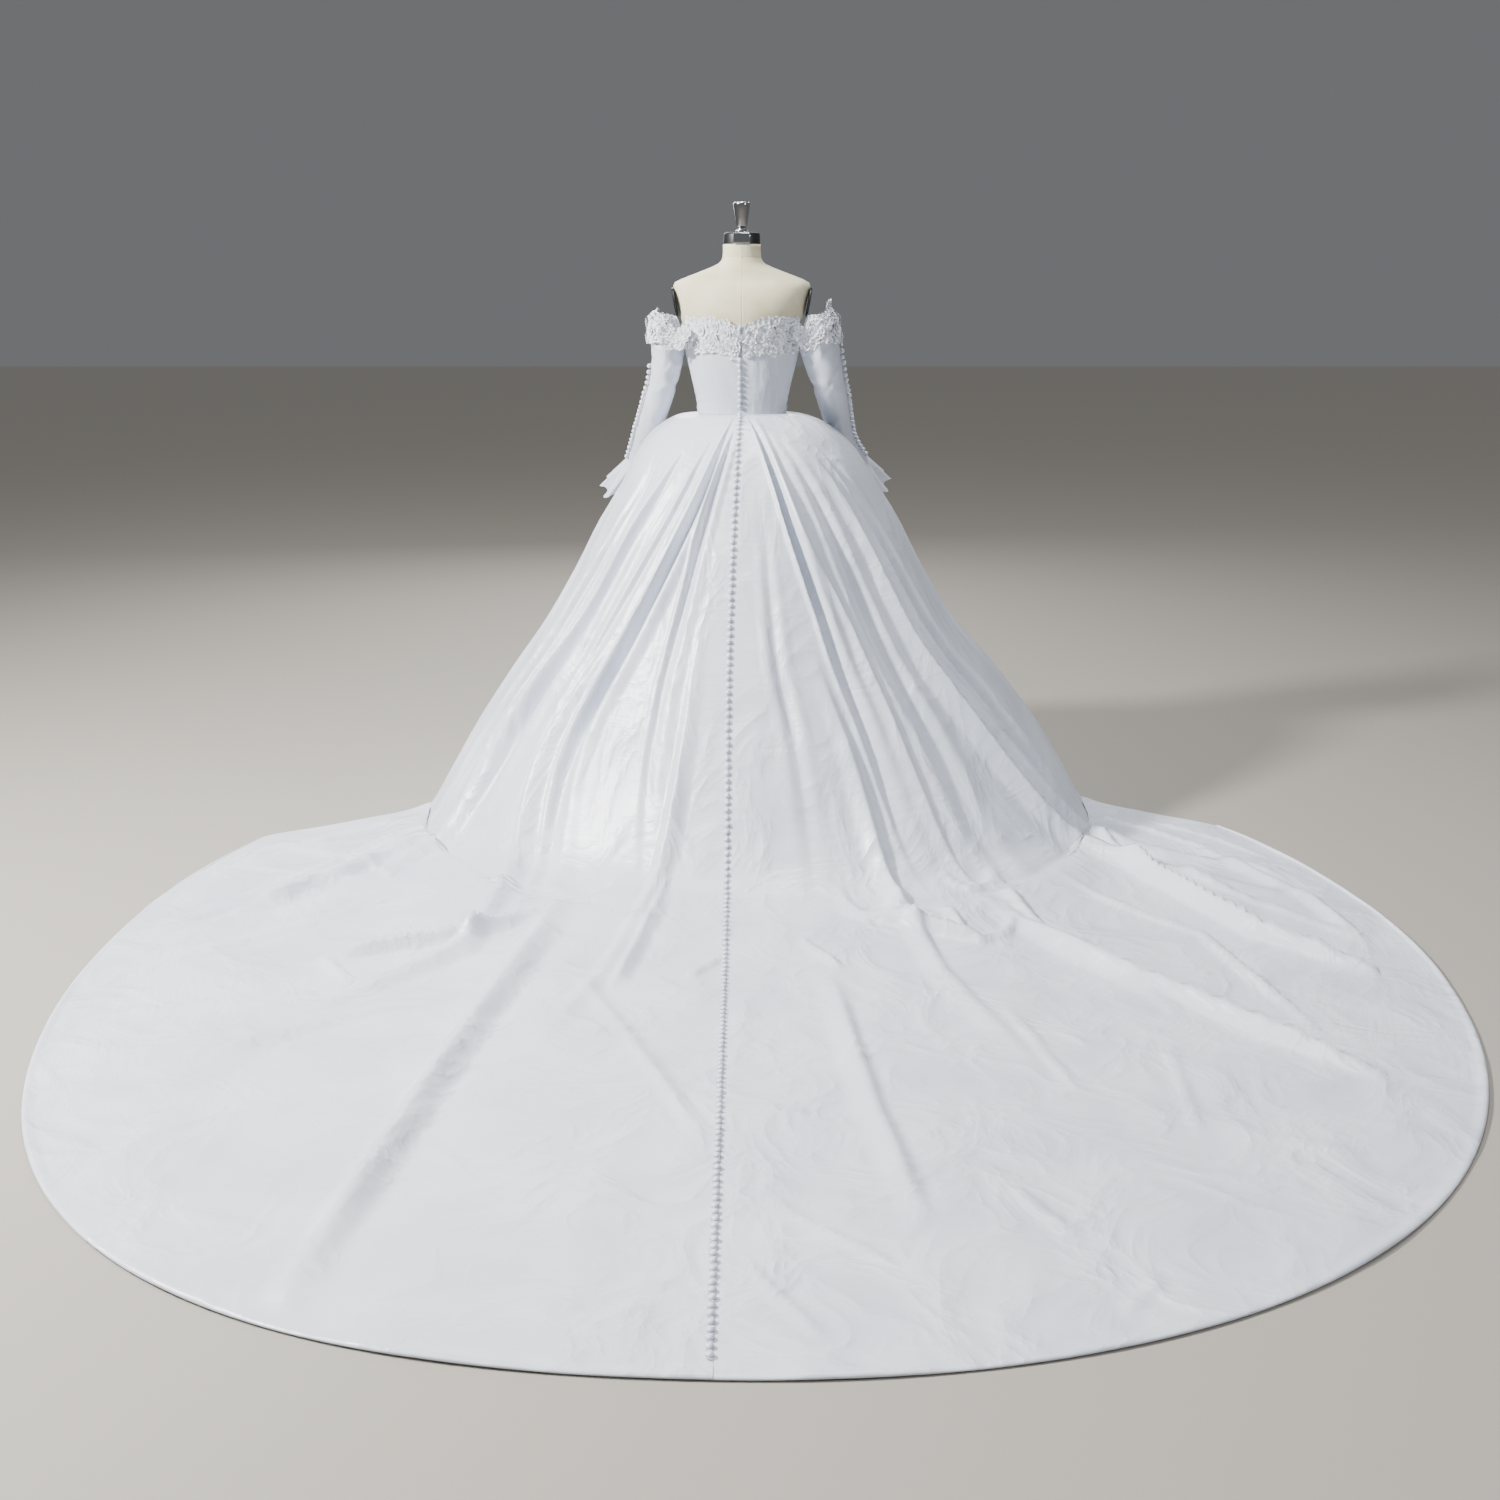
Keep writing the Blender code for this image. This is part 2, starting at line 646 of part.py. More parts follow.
def sleeve_ring(row, before, after, side, moved_out):
    """One section of a sleeve. Angles count from the outer side towards the back."""
    x = getattr(row, side + "_x")
    across = getattr(row, side + "_across") + moved_out
    depth = row.depth + moved_out
    sign = 1 if side == "left" else -1
    if row.z >= UPRIGHT_SLEEVE:
        along = Vector((0, 0, -1))
    else:
        along = Vector((sign * (getattr(after, side + "_x") - getattr(before, side + "_x")), 0, 0))
        along.y = after.y - before.y
        along.z = after.z - before.z
        along.normalize()
    out = Vector((sign, 0, 0))
    out = (out - along * out.dot(along)).normalized()
    back = Vector((0, 1, 0))
    back = (back - along * back.dot(along) - out * back.dot(out)).normalized()
    centre = Vector((sign * x, row.y, row.z))
    ring = []
    for column in range(SLEEVE_COLUMNS):
        angle = math.tau * column / SLEEVE_COLUMNS
        ring.append(centre + out * (across * math.cos(angle)) + back * (depth * math.sin(angle)))
    return ring


def armhole_drop(angle, index):
    """The top edge dips under the arm; the next sections follow it by less and less."""
    inward = (-math.cos(angle) - ARMHOLE_INNER_SIDE) / (1 - ARMHOLE_INNER_SIDE)
    return ARMHOLE_DROP * ease(inward) * max(1 - index / ARMHOLE_ROWS, 0.0)


def sleeve_rings(side, moved_out=0.0):
    rings = []
    last = len(SLEEVE_ROWS) - 1
    for index, row in enumerate(SLEEVE_ROWS):
        before, after = SLEEVE_ROWS[max(index - 1, 0)], SLEEVE_ROWS[min(index + 1, last)]
        ring = sleeve_ring(row, before, after, side, moved_out)
        for column, point in enumerate(ring):
            point.z -= armhole_drop(math.tau * column / SLEEVE_COLUMNS, index)
        rings.append(ring)
    return rings


def make_sleeve(side):
    outer = sleeve_rings(side)
    wall("sleeve_" + side, outer, sleeve_rings(side, -SLEEVE_CLOTH), SATIN, ring=True)
    buttoned = outer[2:] if side == "right" else outer[3:]
    line = []
    for index, ring in enumerate(buttoned):
        before = buttoned[max(index - 1, 0)][0]
        after = buttoned[min(index + 1, len(buttoned) - 1)][0]
        across = (ring[1] - ring[0]).normalized()
        normal = across.cross(after - before).normalized()
        if normal.x * ring[0].x < 0:
            normal = -normal
        line.append(((ring[0] + ring[1]) / 2, across, normal))
    bead_row("buttons_sleeve_" + side, line, SATIN, spacing=SLEEVE_BUTTON_SPACING)
    make_cuff(side)
    make_sleeve_lace(side)


def make_cuff(side):
    """A flared flounce whose ruffle waves grow towards its hem."""
    sign = 1 if side == "left" else -1
    last = SLEEVE_ROWS[-1]
    before = SLEEVE_ROWS[-2]
    wrist = Vector((sign * getattr(last, side + "_x"), last.y, last.z))
    elbow_side = Vector((sign * getattr(before, side + "_x"), before.y, before.z))
    along = (wrist - elbow_side).normalized()
    reach = Vector((sign * CUFF_REACH_OUT, -CUFF_REACH_FRONT, -CUFF_FALL))
    out = Vector((sign, 0, 0))
    out = (out - along * out.dot(along)).normalized()
    back = Vector((0, 1, 0))
    back = (back - along * back.dot(along) - out * back.dot(out)).normalized()
    grids = []
    for moved_in in (0.0, SLEEVE_CLOTH):
        grid = []
        for row in range(CUFF_ROWS + 1):
            share = row / CUFF_ROWS
            centre = wrist + along * SEAM_GAP * 1.5 + reach * share
            across = getattr(last, side + "_across") + (CUFF_HALF_WIDTH - last.left_across) * share
            ring = []
            for column in range(CUFF_COLUMNS):
                angle = math.tau * column / CUFF_COLUMNS
                wave = CUFF_WAVE_DEPTH * share * math.cos(CUFF_WAVES * angle)
                sink = CUFF_WAVE_DEPTH * 0.8 * share * math.cos(CUFF_WAVES * angle + 1.2)
                size = across + wave - moved_in
                point = centre + out * (size * math.cos(angle)) + back * (size * math.sin(angle))
                ring.append(point + along * sink)
            grid.append(ring)
        grids.append(grid)
    wall("cuff_" + side, *grids, SATIN, ring=True)


def petal_height(along, up, flowers):
    """How far the lace stands out at a place, in metres along and up the band."""
    height = 0.0
    for flower in flowers:
        x = along - flower.along
        y = up - flower.up
        distance = math.hypot(x, y) / flower.radius
        if distance >= 1:
            continue
        petal = 1 - PETAL_LENGTH + PETAL_LENGTH * math.cos(PETALS * math.atan2(y, x))
        rim = math.sin(min(distance / petal, 1.0) * math.pi)
        height = max(height, LACE_RELIEF * (PETAL_HEART * (1 - distance) + PETAL_RIM * rim))
    return height


def flower_rows(length, width):
    """Two uneven rows of flowers along a band of this length."""
    flowers = []
    repeats = round(length / (2 * FLOWER_SPACING))
    spacing = length / (2 * repeats)
    for repeat in range(repeats):
        for place in FLOWER_PLACES:
            along = (2 * repeat + place.along) * spacing
            flowers.append(Flower(along, width * place.up, place.radius))
    return flowers


def lace_panel(name, place, length, width, columns):
    """`place(along, up, moved_out)` gives a point on what carries the band."""
    flowers = flower_rows(length, width)
    outer = []
    inner = []
    for row in range(LACE_ROWS + 1):
        up = width * (1 - row / LACE_ROWS)
        edge = SCALLOP_DEPTH if row in (0, LACE_ROWS) else 0.0
        outer_row = []
        inner_row = []
        for column in range(columns + 1):
            along = length * column / columns
            scallop = edge * math.cos(math.tau * along / SCALLOP_LENGTH)
            raised = petal_height(along, up, flowers)
            outer_row.append(place(along, up + scallop, LACE_LIFT + LACE_CLOTH + raised))
            inner_row.append(place(along, up + scallop, LACE_LIFT))
        outer.append(outer_row)
        inner.append(inner_row)
    wall(name, outer, inner, LACE)


def lace_foot(angle):
    """The height of the lace's lower edge on the bodice: lowest at the centre back."""
    lowest = LACE_FOOT_BACK if math.cos(angle) > 0 else LACE_FOOT_FRONT
    return lowest + LACE_FOOT_RISE * ease(abs(math.sin(angle)) * LACE_FOOT_STEEPNESS)


def make_bodice_lace():
    bands = (
        ("lace_back_left", CENTRE_BACK_GAP, LACE_SIDE_ANGLE, 13),
        ("lace_front", 180 - LACE_FRONT_ANGLE, 180 + LACE_FRONT_ANGLE, 24),
        ("lace_back_right", 360 - LACE_SIDE_ANGLE, 360 - CENTRE_BACK_GAP, 13),
    )
    for name, first, last, columns in bands:
        length = math.radians(last - first) * BODY_MEAN_RADIUS

        def place(along, up, moved_out, first=first, last=last, length=length):
            angle = math.radians(first + (last - first) * along / length)
            low = lace_foot(angle)
            high = bodice_top(angle) + LACE_ABOVE_EDGE
            return body_point(angle, low + (high - low) * up / BODICE_BAND, moved_out)

        lace_panel(name, place, length, BODICE_BAND, columns)


def make_sleeve_lace(side):
    turn = math.radians(SLEEVE_LACE_ANGLE)
    length = 2 * turn * SLEEVE_MEAN_RADIUS
    rise = LACE_RISE_RIGHT if side == "right" else LACE_RISE_LEFT
    rows = SLEEVE_ROWS[:3]
    sign = 1 if side == "left" else -1

    def place(along, up, moved_out):
        angle = turn - 2 * turn * along / length
        if sign < 0:
            angle = -angle
        outward = max(math.cos(angle), 0.0)
        high = rows[0].z + LACE_ABOVE_SLEEVE + rise * outward * outward
        flat_z = LACE_FOOT_SLEEVE + (high - LACE_FOOT_SLEEVE) * up / SLEEVE_BAND
        share = min(max((rows[0].z - flat_z) / (rows[0].z - rows[2].z), 0.0), 1.0)
        x = getattr(rows[0], side + "_x") * (1 - share) + getattr(rows[2], side + "_x") * share
        z = flat_z - armhole_drop(angle, 2 * share)
        across = getattr(rows[0], side + "_across")
        depth = rows[0].depth
        return Vector((
            sign * (x + (across + moved_out) * math.cos(angle)),
            (depth + moved_out) * math.sin(angle),
            z,
        ))

    lace_panel("lace_sleeve_" + side, place, length, SLEEVE_BAND, SLEEVE_LACE_COLUMNS)


# The dress form.


def torso_ring(row):
    ring = []
    for column in range(FORM_COLUMNS):
        angle = math.tau * column / FORM_COLUMNS
        radius = oval(angle, row.width, row.front, row.back)
        ring.append(Vector((radius * math.sin(angle), radius * math.cos(angle), row.height)))
    return ring


def make_torso():
    """Inside the bodice its sections are the bodice's own, moved in."""
    rings = [torso_ring(row) for row in TORSO_BELOW]
    for row in range(len(BODICE_ROWS)):
        ring = []
        for column in range(FORM_COLUMNS):
            angle = math.tau * column / FORM_COLUMNS
            height = bodice_height(angle, row)
            ring.append(body_point(angle, height, -BODICE_CLOTH - FORM_CLEARANCE))
        rings.append(ring)
    rings += [torso_ring(row) for row in TORSO_ABOVE]
    points = [point for ring in rings for point in ring]
    faces = [list(range(FORM_COLUMNS))]
    for row in range(len(rings) - 1):
        for column in range(FORM_COLUMNS):
            after = (column + 1) % FORM_COLUMNS
            low, high = row * FORM_COLUMNS, (row + 1) * FORM_COLUMNS
            faces += split_quad([low + column, high + column, high + after, low + after])
    top = (len(rings) - 1) * FORM_COLUMNS
    faces.append([top + column for column in reversed(range(FORM_COLUMNS))])
    face_outwards(add_mesh("form_torso", points, faces, LINEN))


def add_box(name, size, place, look, bevel=0.001):
    bpy.ops.mesh.primitive_cube_add(size=1)
    made = bpy.context.object
    made.name = name
    made.data.transform(Matrix.Diagonal((*size, 1)))
    made.location = place
    made.data.materials.append(material(look))
    for holder in list(made.users_collection):
        holder.objects.unlink(made)
    gown.objects.link(made)
    if bevel:
        rounding = made.modifiers.new("rounding", "BEVEL")
        rounding.width = bevel
        rounding.segments = 1
    return made


def make_arm_plate(side):
    """An oval plate that closes the form's armhole, tilted with the form's side."""
    sign = 1 if side == "left" else -1
    mesh = bpy.data.meshes.new("form_arm_plate_" + side)
    work = bmesh.new()
    bmesh.ops.create_cone(
        work, cap_ends=True, segments=20, radius1=1, radius2=1, depth=1,
        matrix=Matrix.Rotation(math.pi / 2, 4, "Y"),
    )
    size = Matrix.Diagonal((PLATE_THICKNESS, PLATE_HALF_DEPTH, PLATE_HALF_HEIGHT, 1))
    work.transform(size)
    work.to_mesh(mesh)
    work.free()
    made = add_object("form_arm_plate_" + side, mesh, BLACK)
    made.rotation_euler = (0, sign * PLATE_TILT, 0)
    made.location = (sign * PLATE_X, PLATE_Y, PLATE_Z)


def make_form():
    make_torso()
    for side in ("left", "right"):
        make_arm_plate(side)
    neck_top = TORSO_ABOVE[-1].height + SEAM_GAP
    cap_top = neck_top + NECK_CAP_HEIGHT
    cap = [(0, cap_top), (NECK_CAP_RADIUS - 0.003, cap_top), (NECK_CAP_RADIUS, cap_top - 0.003)]
    cap += [(NECK_CAP_RADIUS, neck_top), (0, neck_top)]
    turned("form_neck_cap", cap, BLACK, (0, 0, 0))
    plate_y = NECK_CAP_RADIUS + SEAM_GAP + 0.0015
    plate_z = neck_top + NECK_CAP_HEIGHT / 2
    add_box("form_neck_plate", (0.042, 0.003, NECK_CAP_HEIGHT - 0.001), (0, plate_y, plate_z), CHROME, 0.0008)
    foot = cap_top + SEAM_GAP
    turned("form_knob", KNOB_ROWS, CHROME, (0, 0, foot), 20)
    pole_top = TORSO_BELOW[0].height - SEAM_GAP
    pole = [(0, pole_top), (POLE_RADIUS, pole_top), (POLE_RADIUS, FOOT_HEIGHT + SEAM_GAP)]
    pole += [(0, FOOT_HEIGHT + SEAM_GAP)]
    turned("form_pole", pole, ENAMEL, (0, 0, 0), 16)
    turned("form_foot", FOOT_ROWS, ENAMEL, (0, 0, 0), 32)


train_points = make_skirt()
skirt_buttons(train_points)
make_bodice()
for arm in ("left", "right"):
    make_sleeve(arm)
make_bodice_lace()
make_form()
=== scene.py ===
import math
from collections import namedtuple

import bmesh
import bpy
import numpy as np
from mathutils import Matrix, Vector


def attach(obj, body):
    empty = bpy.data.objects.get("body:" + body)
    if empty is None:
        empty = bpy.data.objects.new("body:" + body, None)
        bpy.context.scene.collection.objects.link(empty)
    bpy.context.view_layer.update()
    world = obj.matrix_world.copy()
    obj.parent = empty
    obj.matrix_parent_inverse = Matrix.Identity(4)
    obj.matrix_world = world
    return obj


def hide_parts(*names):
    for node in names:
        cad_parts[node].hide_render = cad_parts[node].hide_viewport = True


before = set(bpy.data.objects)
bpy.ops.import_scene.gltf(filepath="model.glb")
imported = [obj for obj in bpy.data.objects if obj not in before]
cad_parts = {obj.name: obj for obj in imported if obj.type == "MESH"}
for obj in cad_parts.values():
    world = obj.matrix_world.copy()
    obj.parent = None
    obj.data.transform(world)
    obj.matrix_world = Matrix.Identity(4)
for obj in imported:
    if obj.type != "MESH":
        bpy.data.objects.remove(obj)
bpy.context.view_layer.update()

# Metres, +Z up. The dress faces -Y, its train lies towards +Y and the wearer's left is +X. Angles
# round the dress count from +Y towards +X. A "run" goes 0 at the waist, 1 at the floor, 2 at the hem.

dress = {
    "waistHeight": 1.087,
    "seamGap": 0.0003,  # between neighbouring panels
}
skirt = {
    "backLineX": 0.028,  # how far the button line hangs to the wearer's left
    "trainSides": {"left": 77.0, "right": -81.0},  # seams beside the train, in degrees
    "frontAngle": 130.0,  # seams beside the front panel
    "trainCentre": np.array([-0.045, 0.975]),
    "trainRadius": 1.445,
    "trainFuller": {"left": 0.065, "right": 0.030},  # how much fuller than a circle the hem is
    "wing": 0.23,  # radians by which the train's front corner spreads forward past its seam
    "wingGrown": 0.024,  # how soon it does so, in runs past the skirt's foot
    "hollowHeight": 0.032,  # of the curve where the back meets the floor
    "hollowReach": 0.11,
    "hangingWave": 0.0022,
    "lyingWave": 0.0030,
    "lyingLift": 0.0045,  # of the cloth over the floor
    "lowest": 0.0015,
    "columns": {"train": 190, "side": 70, "front": 110},
}

FallRow = namedtuple("FallRow", "run height side back front sway")
skirtFall = (
    FallRow(0.00, 1.0867, 0.1170, 0.084, 0.088, 0.000),
    FallRow(0.05, 1.0820, 0.1640, 0.125, 0.118, 0.000),
    FallRow(0.10, 1.0660, 0.2050, 0.168, 0.145, 0.003),
    FallRow(0.17, 1.0350, 0.2480, 0.212, 0.175, 0.007),
    FallRow(0.25, 0.9850, 0.2890, 0.262, 0.208, 0.013),
    FallRow(0.35, 0.9000, 0.3370, 0.322, 0.258, 0.020),
    FallRow(0.45, 0.7900, 0.4020, 0.382, 0.330, 0.021),
    FallRow(0.55, 0.6600, 0.4700, 0.445, 0.425, 0.021),
    FallRow(0.65, 0.5200, 0.5540, 0.512, 0.520, 0.022),
    FallRow(0.75, 0.3750, 0.6700, 0.588, 0.620, 0.035),
    FallRow(0.84, 0.2200, 0.7820, 0.676, 0.720, 0.043),
    FallRow(0.91, 0.1050, 0.8520, 0.764, 0.790, 0.044),
    FallRow(0.96, 0.0380, 0.8900, 0.842, 0.835, 0.044),
    FallRow(1.00, 0.0000, 0.9150, 0.930, 0.860, 0.044),
)

# Hanging folds. Each line is given by its angle at six runs. Width and height are metres at the
# floor, a valley is negative, and lean is how much steeper the side away from the centre back is.
foldRuns = np.array([0.05, 0.35, 0.60, 0.80, 1.00, 1.20])
Fold = namedtuple("Fold", "waist hip knee low floor out width height lean start full end")
hangingFolds = (
    Fold(3, 17, 22, 24, 18, 16, 0.038, -0.016, 0.3, 0.10, 0.30, 1.06),
    Fold(8, 23, 36, 44, 35, 28, 0.051, -0.038, 0.5, 0.02, 0.60, 1.12),
    Fold(15, 31, 45, 52, 46, 44, 0.034, -0.010, 0.2, 0.12, 0.40, 0.95),
    Fold(27, 45, 56, 62, 60, 54, 0.047, -0.030, 0.3, 0.14, 0.60, 1.14),
    Fold(40, 48, 57, 66, 69, 70, 0.051, 0.016, 0.7, 0.16, 0.70, 1.10),
    Fold(56, 58, 66, 72, 77, 79, 0.051, -0.040, -0.4, 0.18, 0.75, 1.06),
    Fold(93, 93, 93, 93, 93, 93, 0.060, -0.035, 0, 0.05, 0.80, 1.40),
    Fold(112, 112, 111, 111, 111, 111, 0.055, -0.030, 0, 0.05, 0.85, 1.40),
    Fold(134, 134, 133, 133, 133, 133, 0.060, -0.030, 0, 0.05, 0.85, 1.40),
    Fold(153, 153, 152, 152, 152, 152, 0.060, -0.034, 0, 0.02, 0.80, 1.40),
    Fold(171, 171, 171, 171, 171, 171, 0.055, -0.030, 0, 0.02, 0.80, 1.40),
    Fold(-3, -5, -7, -9, -9, -9, 0.034, -0.008, 0.0, 0.30, 0.70, 1.00),
    Fold(-8, -13, -22, -26, -27, -27, 0.047, -0.036, -0.6, 0.02, 0.40, 1.02),
    Fold(-12, -17, -31, -34, -34, -32, 0.043, 0.012, 0.7, 0.12, 0.60, 1.30),
    Fold(-20, -30, -38, -42, -42, -40, 0.051, -0.020, 0.0, 0.14, 0.60, 1.10),
    Fold(-31, -44, -50, -56, -63, -62, 0.064, 0.036, 0.75, 0.20, 0.70, 2.10),
    Fold(-40, -52, -60, -65, -72, -73, 0.060, -0.050, -0.5, 0.20, 0.75, 1.06),
    Fold(-96, -96, -96, -96, -96, -96, 0.060, -0.035, 0, 0.05, 0.80, 1.40),
    Fold(-115, -115, -114, -113, -113, -113, 0.055, -0.030, 0, 0.05, 0.85, 1.40),
    Fold(-134, -134, -133, -133, -133, -133, 0.060, -0.030, 0, 0.05, 0.85, 1.40),
    Fold(-152, -152, -152, -152, -152, -152, 0.060, -0.034, 0, 0.02, 0.80, 1.40),
    Fold(10, 27, 41, 50, 41, 33, 0.060, 0.030, 0.6, 0.50, 0.90, 2.00),
    Fold(31, 49, 60, 66, 63, 58, 0.060, 0.026, 0.5, 0.50, 0.90, 1.80),
    Fold(2, 9, 14, 17, 17, 16, 0.045, 0.018, 0.2, 0.60, 0.90, 1.50),
    Fold(-5, -9, -17, -21, -21, -19, 0.048, 0.022, 0.4, 0.60, 0.90, 1.60),
    Fold(-36, -48, -56, -61, -68, -68, 0.055, 0.034, 0.5, 0.50, 0.90, 2.00),
)

# Folds and creases of the train, as lines in plan. Crisp is 0 for a soft swell, 1 for a sharp edge.
FloorFold = namedtuple("FloorFold", "width height crisp line")
floorFolds = (
    FloorFold(0.032, 0.020, 0.4, ((0.52, 0.70), (0.47, 0.79), (0.41, 0.83), (0.35, 0.79), (0.32, 0.70))),
    FloorFold(0.028, 0.016, 0.4, ((0.29, 0.68), (0.26, 0.76), (0.22, 0.79), (0.17, 0.75), (0.15, 0.66))),
    FloorFold(0.032, 0.018, 0.4, ((-0.18, 0.76), (-0.20, 0.87), (-0.25, 0.92), (-0.31, 0.87), (-0.34, 0.76))),
    FloorFold(0.030, 0.018, 0.5, ((-0.42, 0.66), (-0.45, 0.74), (-0.50, 0.77), (-0.55, 0.73), (-0.57, 0.64))),
    FloorFold(0.028, 0.014, 0.5, ((-0.43, 0.84), (-0.46, 0.94), (-0.50, 0.98), (-0.56, 0.94), (-0.60, 0.84))),
    FloorFold(0.060, 0.033, 0.4, ((0.46, 0.80), (0.51, 1.04), (0.58, 1.58), (0.65, 2.24))),
    FloorFold(0.044, 0.042, 0.7, ((0.50, 0.86), (0.70, 0.98), (0.93, 1.08))),
    FloorFold(0.024, 0.016, 0.8, ((0.93, 1.08), (0.84, 1.19), (0.86, 1.24))),
    FloorFold(0.048, 0.039, 0.7, ((-0.58, 0.84), (-0.73, 1.08), (-1.04, 1.45), (-1.17, 1.59))),
    FloorFold(0.044, 0.047, 0.8, ((-0.90, 0.38), (-1.00, 0.62), (-1.14, 0.94), (-1.34, 1.12))),
    FloorFold(0.048, 0.039, 0.5, ((0.84, 0.36), (1.00, 0.56), (1.18, 0.80))),
    FloorFold(0.040, 0.029, 0.6, ((-0.24, 0.90), (-0.38, 0.93), (-0.50, 0.97))),
    FloorFold(0.036, 0.021, 0.6, ((0.22, 0.80), (0.26, 0.98), (0.30, 1.20))),
    FloorFold(0.048, 0.016, 0.4, ((-0.16, 1.20), (-0.22, 1.70), (-0.28, 2.05))),
    FloorFold(0.036, 0.016, 0.7, ((-0.53, 0.60), (-0.66, 0.93), (-0.86, 1.32))),
    FloorFold(0.040, 0.016, 0.6, ((-1.16, 0.36), (-1.34, 0.72), (-1.38, 0.95))),
    FloorFold(0.028, 0.016, 0.7, ((1.22, 0.34), (1.02, 0.46), (0.90, 0.60))),
    FloorFold(0.032, 0.018, 0.8, ((1.33, 0.96), (1.15, 0.66), (0.90, 0.42))),
    FloorFold(0.028, 0.013, 0.9, ((1.30, 1.06), (1.12, 0.88), (0.88, 0.72))),
    FloorFold(0.028, 0.012, 0.9, ((1.00, 1.27), (1.25, 1.32))),
    FloorFold(0.032, 0.013, 0.8, ((0.69, 1.27), (0.88, 1.42), (1.10, 1.57))),
    FloorFold(0.024, 0.008, 0.8, ((0.65, 1.20), (1.04, 1.54))),
    FloorFold(0.036, 0.012, 0.7, ((0.37, 1.18), (0.22, 1.50), (0.09, 1.79))),
    FloorFold(0.024, 0.008, 0.8, ((0.24, 1.48), (0.32, 1.40))),
    FloorFold(0.020, 0.008, 0.9, ((1.31, 1.55), (1.23, 1.63))),
    FloorFold(0.024, 0.008, 0.9, ((0.88, 2.04), (0.72, 2.08))),
    FloorFold(0.020, 0.007, 0.9, ((0.76, 1.84), (0.63, 1.70))),
    FloorFold(0.024, 0.009, 0.8, ((0.56, 1.79), (0.41, 1.97))),
    FloorFold(0.018, 0.007, 0.9, ((0.15, 2.20), (0.05, 2.26))),
    FloorFold(0.020, 0.007, 0.8, ((0.31, 2.24), (0.17, 2.33))),
    FloorFold(0.022, 0.016, 0.9, ((-0.10, 1.02), (-0.18, 1.11))),
    FloorFold(0.021, 0.013, 0.9, ((0.08, 1.08), (0.15, 1.16))),
    FloorFold(0.022, 0.008, 0.8, ((-0.80, 1.48), (-0.78, 1.79))),
    FloorFold(0.022, 0.008, 0.7, ((-0.51, 1.32), (-0.60, 1.66))),
    FloorFold(0.018, 0.007, 0.9, ((-0.02, 1.70), (-0.21, 1.79))),
    FloorFold(0.019, 0.008, 0.9, ((-0.04, 2.00), (-0.23, 2.17))),
    FloorFold(0.019, 0.008, 0.8, ((-0.01, 2.17), (-0.12, 2.33))),
    FloorFold(0.021, 0.009, 0.9, ((-0.55, 2.28), (-0.62, 2.20))),
    FloorFold(0.024, 0.007, 0.7, ((-0.86, 1.79), (-1.04, 1.86))),
    FloorFold(0.024, 0.008, 0.8, ((-0.44, 1.97), (-0.51, 2.10))),
    FloorFold(0.028, 0.008, 0.6, ((1.07, 1.95), (1.01, 1.79), (0.76, 1.66))),
    FloorFold(0.026, 0.014, 0.7, ((0.88, 0.16), (1.11, 0.56), (1.33, 0.86))),
    FloorFold(0.024, 0.012, 0.7, ((0.76, 0.62), (1.07, 0.94), (1.35, 1.21))),
    FloorFold(0.020, 0.010, 0.8, ((1.00, 0.15), (1.12, 0.26), (1.22, 0.41))),
    FloorFold(0.022, 0.010, 0.8, ((1.24, 0.36), (1.34, 0.56), (1.39, 0.80))),
    FloorFold(0.020, 0.008, 0.8, ((0.97, 0.52), (1.16, 0.76), (1.28, 1.02))),
    FloorFold(0.022, 0.012, 0.8, ((-0.97, 0.12), (-1.16, 0.34), (-1.33, 0.58))),
    FloorFold(0.024, 0.012, 0.8, ((-0.99, 0.44), (-1.20, 0.74), (-1.38, 0.96))),
    FloorFold(0.026, 0.012, 0.7, ((-0.74, 0.62), (-1.01, 0.94), (-1.12, 1.42))),
    FloorFold(0.018, 0.008, 0.8, ((-1.10, 0.16), (-1.24, 0.30), (-1.34, 0.44))),
)


# A hex sRGB colour as linear red, green, blue and alpha.
def toLinear(code):
    channels = [int(code[i:i + 2], 16) / 255 for i in (1, 3, 5)]
    return tuple(c / 12.92 if c <= 0.04045 else ((c + 0.055) / 1.055) ** 2.4 for c in channels) + (1.0,)


# Materials.


def newMaterial(name):
    made = bpy.data.materials.new(name)
    made.use_nodes = True
    return made, made.node_tree, made.node_tree.nodes["Principled BSDF"]


# links are (input, output socket of another node); settings are attributes, or inputs by name.
def addNode(tree, kind, links=(), **settings):
    node = tree.nodes.new(kind)
    for key, value in settings.items():
        if hasattr(node, key):
            setattr(node, key, value)
        else:
            node.inputs[key.replace("_", " ")].default_value = value
    for key, socket in links:
        tree.links.new(socket, node.inputs[key])
    return node


# Each layer is (height socket, strength, distance in metres).
def bumpChain(tree, shader, layers):
    before = None
    for height, strength, distance in layers:
        bump = addNode(tree, "ShaderNodeBump", [("Height", height)], Strength=strength, Distance=distance)
        if before:
            tree.links.new(before, bump.inputs["Normal"])
        before = bump.outputs["Normal"]
    tree.links.new(before, shader.inputs["Normal"])


satinLook = {
    "shade": "#C8CEDA",
    "light": "#D5DAE4",
    "roughness": 0.40,
    "shine": 0.90,
    "sheen": 0.12,
    "cloudScale": 4.5,  # tone and creases change every 20 cm or so
    "creaseScale": 6.0,
    "slubsPerMetre": (9, 260, 1),  # long along the weft, 4 mm across: coarser than real ones, to show
    "strokesPerMetre": (6.0, 26.0, 1.0),
    # Strength and depth in metres.
    "strokes": (0.24, 0.0030),
    "creases": (0.50, 0.0060),
    "slubs": (0.40, 0.0010),
}


